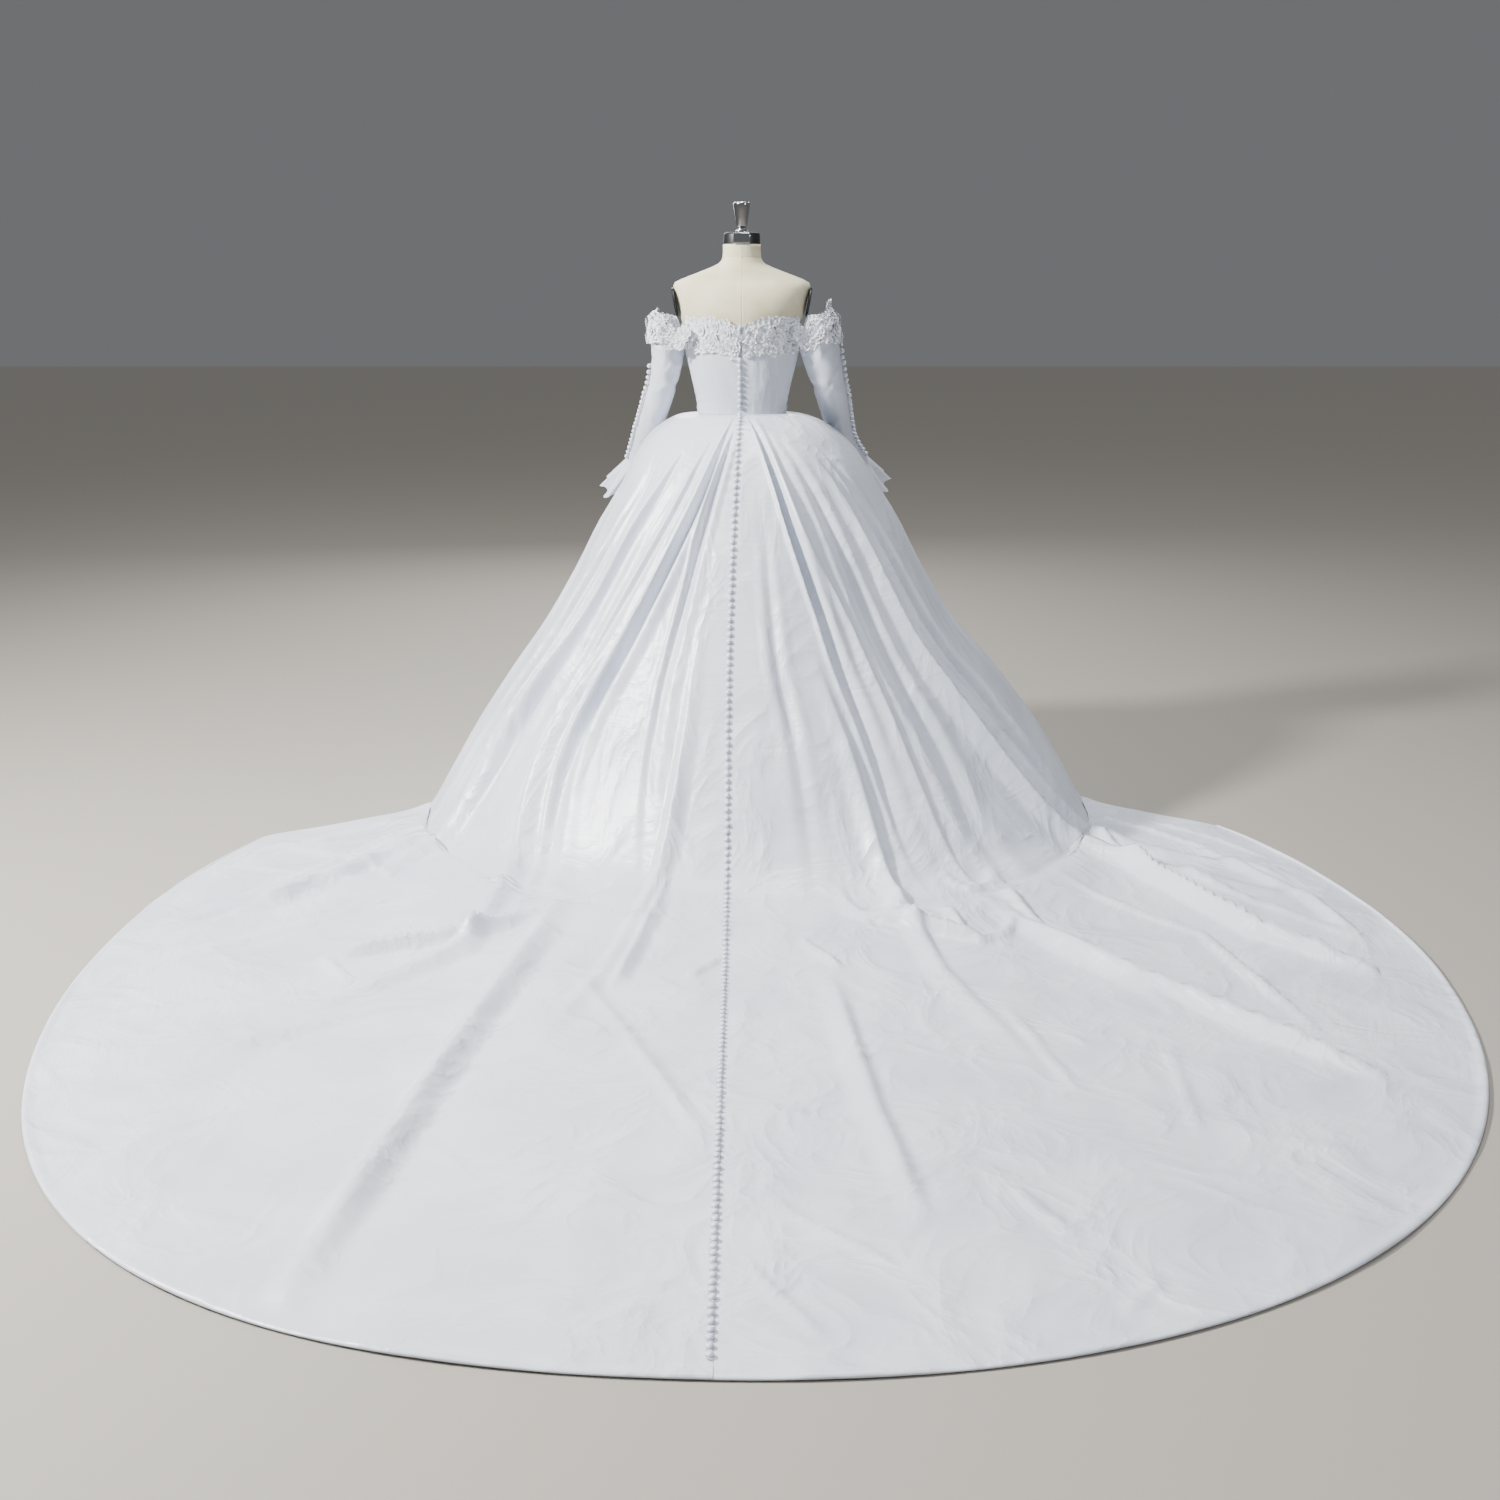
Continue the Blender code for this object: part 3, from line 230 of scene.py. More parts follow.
# Heavy bridal satin: a soft broad sheen, fine slubs along the weft and faint handling creases.
def satinMaterial(name, crumple):
    made, tree, shader = newMaterial(name)
    place = addNode(tree, "ShaderNodeTexCoord").outputs["UV"]
    weft = addNode(tree, "ShaderNodeMapping", [("Vector", place)], Scale=satinLook["slubsPerMetre"])
    slubs = addNode(tree, "ShaderNodeTexNoise", [("Vector", weft.outputs[0])], Scale=1.0, Detail=3.0)
    body = addNode(tree, "ShaderNodeTexCoord").outputs["Object"]
    clouds = addNode(
        tree, "ShaderNodeTexNoise", [("Vector", body)], Scale=satinLook["cloudScale"], Detail=2.0,
    )
    handled = addNode(tree, "ShaderNodeMapping", [("Vector", body)], Scale=(1.0, 1.0, 0.45))
    creases = addNode(
        tree, "ShaderNodeTexNoise", [("Vector", handled.outputs[0])], noise_type="RIDGED_MULTIFRACTAL",
        Scale=satinLook["creaseScale"], Detail=3.0, Roughness=0.55, Distortion=0.7, Offset=1.0, Gain=1.6,
    )
    ramp = addNode(tree, "ShaderNodeValToRGB", [("Fac", clouds.outputs["Fac"])])
    ramp.color_ramp.elements[0].color = toLinear(satinLook["shade"])
    ramp.color_ramp.elements[1].color = toLinear(satinLook["light"])
    ramp.color_ramp.elements[0].position = 0.35
    ramp.color_ramp.elements[1].position = 0.65
    tree.links.new(ramp.outputs["Color"], shader.inputs["Base Color"])
    shader.inputs["Roughness"].default_value = satinLook["roughness"]
    shader.inputs["Specular IOR Level"].default_value = satinLook["shine"]
    shader.inputs["Sheen Weight"].default_value = satinLook["sheen"]
    shader.inputs["Sheen Roughness"].default_value = 0.35
    strokes = addNode(tree, "ShaderNodeMapping", [("Vector", place)], Scale=satinLook["strokesPerMetre"])
    strokes = addNode(
        tree, "ShaderNodeTexNoise", [("Vector", strokes.outputs[0])], noise_type="RIDGED_MULTIFRACTAL",
        Scale=1.0, Detail=2.0, Roughness=0.5, Distortion=0.9, Offset=0.9, Gain=1.8,
    )
    # The strokes show in patches only, where the cloth has been handled.
    patches = addNode(
        tree, "ShaderNodeMapRange", [("Value", clouds.outputs["Fac"])],
        From_Min=0.46, From_Max=0.62, To_Min=0.12, To_Max=1.0,
    )
    strokes = addNode(
        tree, "ShaderNodeMath", [(0, strokes.outputs["Fac"]), (1, patches.outputs["Result"])],
        operation="MULTIPLY",
    )
    bumpChain(tree, shader, [
        (strokes.outputs[0], satinLook["strokes"][0] * crumple, satinLook["strokes"][1]),
        (creases.outputs["Fac"], satinLook["creases"][0] * crumple, satinLook["creases"][1]),
        (slubs.outputs["Fac"], *satinLook["slubs"]),
    ])
    return made


def plainMaterial(name, code, roughness, metallic=0.0, grain=0.0, grainScale=400.0):
    made, tree, shader = newMaterial(name)
    shader.inputs["Base Color"].default_value = toLinear(code)
    shader.inputs["Roughness"].default_value = roughness
    shader.inputs["Metallic"].default_value = metallic
    if grain:
        body = addNode(tree, "ShaderNodeTexCoord").outputs["Object"]
        noise = addNode(tree, "ShaderNodeTexNoise", [("Vector", body)], Scale=grainScale, Detail=3.0)
        bumpChain(tree, shader, [(noise.outputs["Fac"], grain, 0.0004)])
    return made


satin = satinMaterial("white bridal satin", 1.0)


# Shapes shared with the solids.


# A table's column read at other places, on a smooth curve.
def smoothRead(places, values, at):
    at = np.clip(at, places[0], places[-1])
    low = np.clip(np.searchsorted(places, at, side="right") - 1, 0, len(places) - 2)
    span = places[low + 1] - places[low]
    share = (at - places[low]) / span
    index = np.arange(len(places))
    before = np.maximum(index - 1, 0)
    after = np.minimum(index + 1, len(places) - 1)
    slope = (values[after] - values[before]) / (places[after] - places[before])
    squared = share * share
    cubed = squared * share
    return (
        (2 * cubed - 3 * squared + 1) * values[low]
        + (cubed - 2 * squared + share) * span * slope[low]
        + (3 * squared - 2 * cubed) * values[low + 1]
        + (cubed - squared) * span * slope[low + 1]
    )


def column(rows, name):
    return np.array([getattr(row, name) for row in rows])


def readTable(rows, key, wanted, at):
    return smoothRead(column(rows, key), column(rows, wanted), at)


def ease(share):
    share = np.clip(share, 0.0, 1.0)
    return share * share * (3 - 2 * share)


def oval(angle, width, front, back):
    depth = np.where(np.cos(angle) > 0, back, front)
    return 1 / np.hypot(np.sin(angle) / width, np.cos(angle) / depth)


# From the form's axis to the train's hem, a circle that is a little fuller between its axes.
def hemRadius(angle):
    centre = skirt["trainCentre"]
    along = centre[0] * np.sin(angle) + centre[1] * np.cos(angle)
    reach = along + np.sqrt(skirt["trainRadius"]**2 - centre.dot(centre) + along**2)
    x = reach * np.sin(angle) - centre[0]
    y = reach * np.cos(angle) - centre[1]
    fuller = np.where(x > 0, skirt["trainFuller"]["left"], skirt["trainFuller"]["right"])
    fuller = 1 + fuller * np.sin(2 * np.arctan2(x, y)) ** 2
    return np.hypot(centre[0] + x * fuller, centre[1] + y * fuller)


# How far the skirt's foot stands off the form's axis, sideways.
def sway(run):
    return readTable(skirtFall, "run", "sway", np.minimum(run, 1.0)) * np.clip(2 - run, 0.0, 1.0)


# Distance from the axis and height of the unfolded skirt.
def fall(angle, run):
    hanging = np.minimum(run, 1.0)
    sizes = [readTable(skirtFall, "run", name, hanging) for name in ("side", "front", "back")]
    radius = oval(angle, *sizes)
    height = readTable(skirtFall, "run", "height", hanging)
    lying = np.maximum(run - 1, 0.0)
    return radius + lying * (hemRadius(angle) - radius), height


foldShape = {
    "leanSqueeze": 3,  # how much a lean of 1 narrows the steep side
    "troughLip": 0.35,  # height of the swells beside a valley, as a share of its depth
    "crispSqueeze": 2.2,  # the same as leanSqueeze, for the outer side of a crisp fold on the floor
    "crossing": 0.35,  # how much of the lower of two crossing folds is added
    "endFade": 0.35,  # share of a floor fold's length over which it rises
    "endOver": 0.12,
}


# Squeezes one side of a fold: a positive lean makes the side away from the centre back steeper.
def leaned(place, lean, outwards):
    far = place * outwards > 0
    squeeze = foldShape["leanSqueeze"]
    return place * np.where(far, 1 + squeeze * max(lean, 0), 1 + squeeze * max(-lean, 0))


# Depth of all the hanging folds, measured out from the plain skirt. A valley has a low swell on each side.
def foldDepth(angle, run, radius):
    depth = np.zeros_like(run)
    lip = foldShape["troughLip"]
    for fold in hangingFolds:
        turns = np.array([fold.waist, fold.hip, fold.knee, fold.low, fold.floor, fold.out], float)
        middle = np.radians(smoothRead(foldRuns, turns, run))
        turn = (angle - middle + math.pi) % math.tau - math.pi
        width = fold.width * (0.2 + 0.8 * np.minimum(run, 1.0))
        place = leaned(turn * radius / width, fold.lean, 1 if fold.floor > 0 else -1)
        near = np.clip(1 - np.abs(place), 0, 1)
        swell = 0.5 * np.sin(near * math.pi / 2) ** 2 + 0.5 * near**1.3
        trough = np.where(
            np.abs(place) < 1,
            (1 + lip) * swell - lip,
            -lip * np.cos((np.clip(np.abs(place), 1, 2) - 1) * math.pi / 2) ** 2,
        )
        shape = np.where(fold.height < 0, trough, swell)
        grown = ease((run - fold.start) / (fold.full - fold.start))
        faded = ease((run - fold.full) / (fold.end - fold.full))
        depth += fold.height * grown * (1 - faded) * np.where(np.abs(place) < 2, shape, 0)
    return depth


# The folds that lie on the floor: rounded where soft, peaked where crisp, fading at both ends.
def floorHeight(x, y):
    over, fade = foldShape["endOver"], foldShape["endFade"]
    total = np.zeros_like(x)
    for fold in floorFolds:
        best = np.zeros_like(x)
        lengths = [0.0]
        for first, second in zip(fold.line, fold.line[1:]):
            lengths.append(lengths[-1] + math.dist(first, second))
        for index, (first, second) in enumerate(zip(fold.line, fold.line[1:])):
            ax, ay = second[0] - first[0], second[1] - first[1]
            share = np.clip(((x - first[0]) * ax + (y - first[1]) * ay) / (ax * ax + ay * ay), 0, 1)
            footX = first[0] + share * ax
            outer = (x - footX) * np.sign(footX) > 0
            steep = np.where(outer, 1 + foldShape["crispSqueeze"] * fold.crisp, 1.0)
            away = np.hypot(x - footX, y - first[1] - share * ay) / fold.width * steep
            near = np.clip(1 - away, 0, 1)
            shape = (1 - fold.crisp) * np.sin(near * math.pi / 2) ** 2 + fold.crisp * near**1.6
            run = (lengths[index] + share * (lengths[index + 1] - lengths[index])) / lengths[-1]
            best = np.maximum(best, shape * ease(np.minimum(run + over, 1 + over - run) / fade))
        height = fold.height * best
        total = np.maximum(total, height) + foldShape["crossing"] * np.minimum(total, height)
    return total


# Small uneven waves, so that no stretch of cloth is quite flat.
def swells(x, y, z):
    return (
        np.sin(7.1 * x + 3.3 * y + 5.2 * z + 0.4) * np.sin(4.7 * y - 2.9 * x + 3.1 * z + 1.1)
        + 0.5 * np.sin(13.7 * x - 8.3 * y + 9.1 * z + 2.0) * np.sin(11.9 * y + 6.1 * x - 7.7 * z + 0.3)
        + 0.3 * np.sin(27.3 * x + 17.1 * y + 21.0 * z + 1.4) * np.sin(23.3 * y - 19.7 * x + 15.1 * z)
    )


# Points of the dressed skirt, as an array of rows and columns.
def skirtSurface(angle, run):
    radius, height = fall(angle, run)
    step = 0.01
    nearRadius, nearHeight = fall(angle, np.maximum(run - step, 0.0))
    farRadius, farHeight = fall(angle, run + step)
    nearHeight = np.where(run > 1, farHeight, nearHeight)
    outX, outZ = nearHeight - farHeight, farRadius - nearRadius
    size = np.hypot(outX, outZ)
    depth = foldDepth(angle, run, radius)
    waves = swells(radius * np.sin(angle), radius * np.cos(angle), height)
    lift = skirt["hangingWave"] * waves * ease(run / 0.3)
    depth = depth + lift * ease((1.02 - run) / 0.2)
    x = (radius + outX / size * depth) * np.sin(angle)
    y = (radius + outX / size * depth) * np.cos(angle)
    z = height + outZ / size * depth
    onFloor = ease((run - 0.92) / 0.12)
    bend = (radius - fall(angle, np.ones_like(run))[0]) / skirt["hollowReach"]
    backwards = np.abs((angle + math.pi) % math.tau - math.pi)
    z = z + skirt["hollowHeight"] * np.exp(-bend * bend) * ease((1.42 - backwards) / 0.30)
    lying = floorHeight(x, y) + skirt["lyingLift"] + skirt["lyingWave"] * swells(x, y, z * 0)
    z = z + lying * onFloor
    return np.stack([x - sway(run), y, np.maximum(z, skirt["lowest"])], axis=-1)


# The centre back line hangs a little to the wearer's left of the form's axis.
def edgeDrift(run):
    return np.degrees((skirt["backLineX"] * ease(run / 0.8) + sway(run)) / fall(np.zeros_like(run), run)[0])


# One smooth cloth surface from a grid of points, rows from top to bottom.
def shellPiece(name, grid, material, nodes, ring=False, uv=None, flip=False):
    rows, columns = grid.shape[:2]
    index = np.arange(rows * columns).reshape(rows, columns)
    if ring:
        index = np.concatenate([index, index[:, :1]], axis=1)
    corners = [index[:-1, :-1], index[1:, :-1], index[1:, 1:], index[:-1, 1:]]
    faces = np.stack(corners, axis=-1).reshape(-1, 4)
    if flip:
        faces = faces[:, ::-1]
    mesh = bpy.data.meshes.new(name)
    mesh.vertices.add(rows * columns)
    mesh.vertices.foreach_set("co", grid.reshape(-1))
    mesh.loops.add(faces.size)
    mesh.loops.foreach_set("vertex_index", faces.reshape(-1).astype(np.int32))
    mesh.polygons.add(len(faces))
    mesh.polygons.foreach_set("loop_start", np.arange(0, faces.size, 4, dtype=np.int32))
    mesh.update(calc_edges=True)
    if uv is not None:
        layer = mesh.uv_layers.new(name="cloth")
        layer.data.foreach_set("uv", uv.reshape(-1, 2)[faces.reshape(-1)].reshape(-1).astype(np.float32))
    mesh.materials.append(material)
    mesh.shade_smooth()
    made = bpy.data.objects.new(name, mesh)
    bpy.context.scene.collection.objects.link(made)
    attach(made, "root")
    if nodes:
        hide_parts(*nodes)
    return made


# Places on the cloth in metres: along the weft, and down from the top edge.
def clothUv(grid):
    across = np.linalg.norm(np.diff(grid, axis=1), axis=-1)
    across = np.concatenate([np.zeros((len(grid), 1)), np.cumsum(across, axis=1)], axis=1)
    down = np.linalg.norm(np.diff(grid, axis=0), axis=-1).mean(axis=1)
    down = np.concatenate([[0.0], np.cumsum(down)])
    return np.stack([across, np.broadcast_to(down[:, None], across.shape)], axis=-1)


# Skirt and train.


# Column places across a panel, closer together near the centre back seam.
def panelShares(columns, denser):
    even = np.linspace(0, 1, columns + 1)
    return 0.45 * even + 0.55 * even**2 if denser else even


def skirtPanel(name, node, first, last, columns, runs, denserAt=None):
    shares = panelShares(columns, denserAt is not None)
    if denserAt == "last":
        shares = 1 - shares[::-1]
    runGrid = np.broadcast_to(runs[:, None], (len(runs), columns + 1))
    drift = edgeDrift(runs)[:, None]
    start = drift if first == 0 else first
    stop = drift if last == 0 else last
    grown = ease((runs - 1) / skirt["wingGrown"]) * np.clip(2 - runs, 0, 1)
    spread = np.degrees(skirt["wing"] * grown)[:, None]
    if first == 0:
        stop = stop + spread
    if last == 0:
        start = start - spread
    angle = np.radians(start + (stop - start) * shares[None, :])
    grid = skirtSurface(angle, runGrid)
    for edge, inwards in ((0, 1), (-1, -1)):
        grid[:, edge, 0] += np.cos(angle[:, edge]) * inwards * dress["seamGap"] / 2
        grid[:, edge, 1] -= np.sin(angle[:, edge]) * inwards * dress["seamGap"] / 2
    pucker(grid, runs, denserAt)
    if runs[-1] > 1.5:
        rollHem(grid)
    piece = shellPiece(name, grid, satin, [node], uv=clothUv(grid))
    return piece, grid


puckers = {
    "spacing": 0.031,
    "height": 0.0011,
    "lyingHeight": 0.0012,  # added to the height on the floor
    "reach": 0.045,  # how far they run from the seam, and how much that varies
    "reachVaries": 0.035,
    "lowest": 0.0012,
}


# The button seam draws the cloth in short uneven cross creases.
def pucker(grid, runs, denserAt):
    if denserAt is None:
        return
    edge = 0 if denserAt == "first" else -1
    away = np.linalg.norm(grid - grid[:, edge][:, None], axis=-1)
    down = np.concatenate([[0.0], np.cumsum(np.linalg.norm(np.diff(grid[:, edge], axis=0), axis=-1))])
    phase = 0.0 if denserAt == "first" else 1.9
    wave = np.sin(down * math.tau / puckers["spacing"] + phase + 1.7 * np.sin(down * 9.0))
    wave *= 0.5 + 0.5 * np.sin(down * 5.3 + phase)
    reach = puckers["reach"] + puckers["reachVaries"] * np.sin(down * 11.0 + phase)
    fading = np.exp(-((away / reach[:, None]) ** 2))
    size = puckers["height"] + puckers["lyingHeight"] * ease((runs - 0.9) / 0.5)
    grid[..., 2] += (size * wave)[:, None] * fading
    hanging = (runs < 0.95)[:, None]
    grid[..., 1] += np.where(hanging, (puckers["height"] * wave)[:, None] * fading, 0)
    grid[..., 2] = np.maximum(grid[..., 2], puckers["lowest"])


# Row of the grid, how far out it lies, and its share of the hem's height.
hemRows = ((-5, -0.012, 1.0), (-4, -0.006, 1.0), (-3, -0.001, 0.8), (-2, 0.0, 0.35), (-1, -0.004, 0.0))


# The last rows are the hem: 4 mm over the floor, rounded, and turned under.
def rollHem(grid):
    across = grid[-1] - grid[-2]
    across /= np.linalg.norm(across, axis=-1)[:, None]
    edge = grid[-5].copy()
    wave = 0.0035 + 0.0025 * (1 + np.sin(np.linspace(0, 37, len(edge)))) * 0.5
    lift = edge[:, 2] * 0.4 + wave
    for row, out, up in hemRows:
        base = grid[-1] * [1, 1, 0] + across * out
        grid[row] = base
        grid[row, :, 2] = 0.0012 + lift * up


hangingRuns = np.concatenate([np.linspace(0, 0.1, 12), np.linspace(0.11, 1.0, 128)])
lyingRuns = np.concatenate([np.linspace(1.008, 1.985, 120), np.linspace(1.988, 2.0, 5)])
trainRuns = np.concatenate([hangingRuns, lyingRuns])
trainGrids = {}
for side, order in (("left", 1), ("right", -1)):
    angle = skirt["trainSides"][side]
    first, last = (0, angle) if order > 0 else (angle, 0)
    seamEnd = "first" if order > 0 else "last"
    piece, grid = skirtPanel(
        "train_" + side, "skirt_train_" + side, first, last, skirt["columns"]["train"],
        trainRuns, denserAt=seamEnd,
    )
    trainGrids[side] = grid
    first, last = sorted((angle, order * skirt["frontAngle"]))
    piece, grid = skirtPanel(
        "skirt_side_" + side + "_cloth", "skirt_side_" + side, first, last, skirt["columns"]["side"],
        hangingRuns,
    )
piece, grid = skirtPanel(
    "skirt_front_cloth", "skirt_front", skirt["frontAngle"], 360 - skirt["frontAngle"],
    skirt["columns"]["front"], hangingRuns,
)
print("skirt done")


# Dress form: linen torso with its seams, arm plates, neck cap, plate and knob.

form = {
    "insideCloth": 0.0026,  # how far the torso lies inside the bodice
    "neckSeamHeight": 1.474,
    "neckTop": 1.5063,
    "capRadius": 0.0466,
    "capHeight": 0.028,
    "linenShade": "#CEC6A4",
    "linenLight": "#DDD6BA",
    "armPlace": (0.1722, 0.005, 1.365),
    "armSize": (0.036, 0.034),
    "armTilt": 0.17,
    "neckPlate": (0.042, 0.0030),  # width and thickness
}
BodyRow = namedtuple("BodyRow", "height width front back")
bodyRows = (
    BodyRow(1.0870, 0.1170, 0.088, 0.084),
    BodyRow(1.1150, 0.1185, 0.093, 0.085),
    BodyRow(1.1500, 0.1260, 0.104, 0.088),
    BodyRow(1.1850, 0.1345, 0.117, 0.092),
    BodyRow(1.2200, 0.1430, 0.124, 0.096),
    BodyRow(1.2500, 0.1490, 0.122, 0.098),
    BodyRow(1.2800, 0.1530, 0.114, 0.099),
    BodyRow(1.3100, 0.1560, 0.104, 0.099),
)
torsoRows = (
    BodyRow(0.8200, 0.1200, 0.085, 0.090),
    BodyRow(0.8350, 0.1560, 0.105, 0.115),
    BodyRow(0.9000, 0.1680, 0.112, 0.122),
    BodyRow(0.9700, 0.1560, 0.106, 0.112),
    BodyRow(1.0400, 0.1280, 0.095, 0.092),
    BodyRow(1.0700, 0.1170, 0.090, 0.086),
) + tuple(
    BodyRow(row.height, *(size - form["insideCloth"] for size in row[1:]))
    for row in bodyRows
) + (
    BodyRow(1.3400, 0.1620, 0.096, 0.099),
    BodyRow(1.3750, 0.1700, 0.082, 0.094),
    BodyRow(1.4050, 0.1760, 0.064, 0.078),
    BodyRow(1.4150, 0.1700, 0.056, 0.068),
    BodyRow(1.4350, 0.1200, 0.052, 0.060),
    BodyRow(1.4500, 0.0800, 0.050, 0.056),
    BodyRow(1.4620, 0.0560, 0.048, 0.052),
    BodyRow(1.4800, 0.0490, 0.045, 0.048),
    BodyRow(1.5060, 0.0480, 0.044, 0.046),
)


def ovalGrid(rows, angle, height, movedOut):
    sizes = [readTable(rows, "height", name, height) for name in ("width", "front", "back")]
    radius = oval(angle, *sizes) + movedOut
    return np.stack([radius * np.sin(angle), radius * np.cos(angle), height + 0 * radius], axis=-1)


# Cream linen over a padded form: matt and slightly uneven. Its plain weave is drawn with threads 2 mm
# apart, coarser than the real 0.5 mm, so that it shows.
def linenMaterial():
    made, tree, shader = newMaterial("cream linen, plain weave")
    body = addNode(tree, "ShaderNodeTexCoord").outputs["Object"]
    threads = []
    for turn in ((0, 0, 0), (0, math.radians(90), 0)):
        turned = addNode(tree, "ShaderNodeMapping", [("Vector", body)], Rotation=turn)
        threads.append(addNode(
            tree, "ShaderNodeTexWave", [("Vector", turned.outputs[0])], Scale=160.0, Distortion=1.5,
            Detail=2.0, Detail_Scale=2.0,
        ).outputs["Fac"])
    weave = addNode(tree, "ShaderNodeMath", [(0, threads[0]), (1, threads[1])], operation="ADD")
    yarn = addNode(tree, "ShaderNodeTexNoise", [("Vector", body)], Scale=18.0, Detail=6.0)
    ramp = addNode(tree, "ShaderNodeValToRGB", [("Fac", yarn.outputs["Fac"])])
    ramp.color_ramp.elements[0].color = toLinear(form["linenShade"])
    ramp.color_ramp.elements[1].color = toLinear(form["linenLight"])
    ramp.color_ramp.elements[0].position = 0.3
    ramp.color_ramp.elements[1].position = 0.7
    tree.links.new(ramp.outputs["Color"], shader.inputs["Base Color"])
    shader.inputs["Roughness"].default_value = 0.92
    shader.inputs["Sheen Weight"].default_value = 0.1
    bumpChain(tree, shader, [(weave.outputs[0], 0.35, 0.0003)])
    return made


def meshPiece(name, points, faces, material, nodes, sharp=40, smooth=True):
    mesh = bpy.data.meshes.new(name)
    mesh.from_pydata([tuple(map(float, point)) for point in points], [], faces)
    mesh.update()
    mesh.materials.append(material)
    if smooth:
        mesh.shade_smooth()
        mesh.set_sharp_from_angle(angle=math.radians(sharp))
    made = bpy.data.objects.new(name, mesh)
    bpy.context.scene.collection.objects.link(made)
    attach(made, "root")
    if nodes:
        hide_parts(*nodes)
    return made


# The profile runs from the top on the axis, down the outside, to the bottom on the axis.
def turnedPiece(name, profile, material, nodes, steps=64, sharp=40):
    points = [(0, 0, profile[0][1])]
    for radius, z in profile[1:-1]:
        for k in range(steps):
            turn = math.tau * k / steps
            points.append((radius * math.sin(turn), radius * math.cos(turn), z))
    points.append((0, 0, profile[-1][1]))
    last = len(points) - 1
    rings = len(profile) - 2
    faces = []
    for k in range(steps):
        after = (k + 1) % steps
        faces.append([0, 1 + after, 1 + k])
        for ring in range(rings - 1):
            low, high = 1 + (ring + 1) * steps, 1 + ring * steps
            faces.append([high + k, high + after, low + after, low + k])
        end = 1 + (rings - 1) * steps
        faces.append([end + k, end + after, last])
    return meshPiece(name, points, faces, material, nodes, sharp)


linen = linenMaterial()
# Moulded plastic has a fine grain and a soft highlight, chrome mirrors the room, and enamel is half matt.
blackPlastic = plainMaterial(
    "black moulded plastic, fine grain", "#17171A", 0.42, grain=0.15, grainScale=900.0,
)
chrome = plainMaterial("polished chrome", "#C9CBCF", 0.12, metallic=1.0, grain=0.02, grainScale=200.0)
enamel = plainMaterial("grey enamelled iron", "#3C3C3F", 0.45, grain=0.1, grainScale=300.0)
for node in ("form_pole", "form_foot"):
    kept = bpy.data.objects[node]
    for place in kept.material_slots:
        place.material = enamel

# Columns crowd at the centre back, where the cover's seam is a groove 1.5 mm wide.
seamTurns = np.radians([0.0, 0.2, 0.45, 0.8, 1.4])
even = np.radians(np.arange(3.0, 357.1, 3.0))
torsoTurns = np.concatenate([seamTurns, even, math.tau - seamTurns[:0:-1]])
torsoHeights = np.sort(np.concatenate([
    np.linspace(0.82, 1.506, 90),
    form["neckSeamHeight"] + np.array([-0.0016, -0.0008, 0.0, 0.0008, 0.0016]),
]))[::-1]
angle, height = np.meshgrid(torsoTurns, torsoHeights)
backRadius = 0.09  # turns an angle at the centre back into metres
away = np.minimum(angle, math.tau - angle) * backRadius
groove = -0.0009 * np.exp(-((away / 0.0007) ** 2)) + 0.0004 * np.exp(-(((away - 0.002) / 0.0011) ** 2))
band = np.abs(height - form["neckSeamHeight"])
groove = groove * (height > 1.27) - 0.0008 * np.exp(-((band / 0.0008) ** 2))
torsoGrid = ovalGrid(torsoRows, angle, height, groove)
# Both ends are closed by rows that shrink to the axis.
closed = [torsoGrid[:1] * [share, share, 1] + [0, 0, (1 - share) * 0.0002] for share in (0.001, 0.5, 0.97)]
opened = [torsoGrid[-1:] * [share, share, 1] for share in (0.9, 0.4, 0.001)]
torsoGrid = np.concatenate([*closed, torsoGrid, *opened])
shellPiece("form_torso_linen", torsoGrid, linen, ["form_torso"], ring=True)

armProfile = (
    (0, 0.0030), (0.6, 0.0034), (0.90, 0.0032), (0.96, 0.0026), (1.0, 0.0012), (1.0, -0.0026),
    (0.985, -0.003), (0, -0.003),
)
for side, sign in (("left", 1), ("right", -1)):
    plate = turnedPiece(
        "form_arm_plate_" + side + "_moulded", armProfile, blackPlastic, ["form_arm_plate_" + side],
    )
    size = Matrix.Diagonal((*form["armSize"], 1, 1))
    tilt = Matrix.Rotation(sign * form["armTilt"], 4, "Y") @ Matrix.Rotation(sign * math.pi / 2, 4, "Y")
    x, y, z = form["armPlace"]
    plate.data.transform(Matrix.Translation((sign * x, y, z)) @ tilt @ size)

capTop = form["neckTop"] + form["capHeight"]
capRounding = 0.006
rim = [
    (form["capRadius"] - capRounding * (1 - math.sin(t)), capTop - capRounding * (1 - math.cos(t)))
    for t in np.linspace(0, 1.5, 6)
]
turnedPiece(
    "form_neck_cap_moulded",
    [(0, capTop), (0.03, capTop), *rim, (form["capRadius"], form["neckTop"] + 0.0006),
     (0, form["neckTop"] + 0.0004)],
    blackPlastic, ["form_neck_cap"],
)
knobFoot = capTop + dress["seamGap"]
knobProfile = (
    (0, 0.0735), (0.012, 0.0738), (0.018, 0.0732), (0.0205, 0.0718), (0.0214, 0.0695), (0.0212, 0.0665),
    (0.0196, 0.0545), (0.0168, 0.036), (0.0140, 0.018), (0.0127, 0.0125), (0.0116, 0.0108),
    (0.0116, 0.0075), (0.0125, 0.0062), (0.0165, 0.0046), (0.0172, 0.0028), (0.0168, 0.0004), (0, 0.0002),
)
turnedPiece(
    "form_knob_turned", [(radius, knobFoot + z) for radius, z in knobProfile], chrome, ["form_knob"],
)

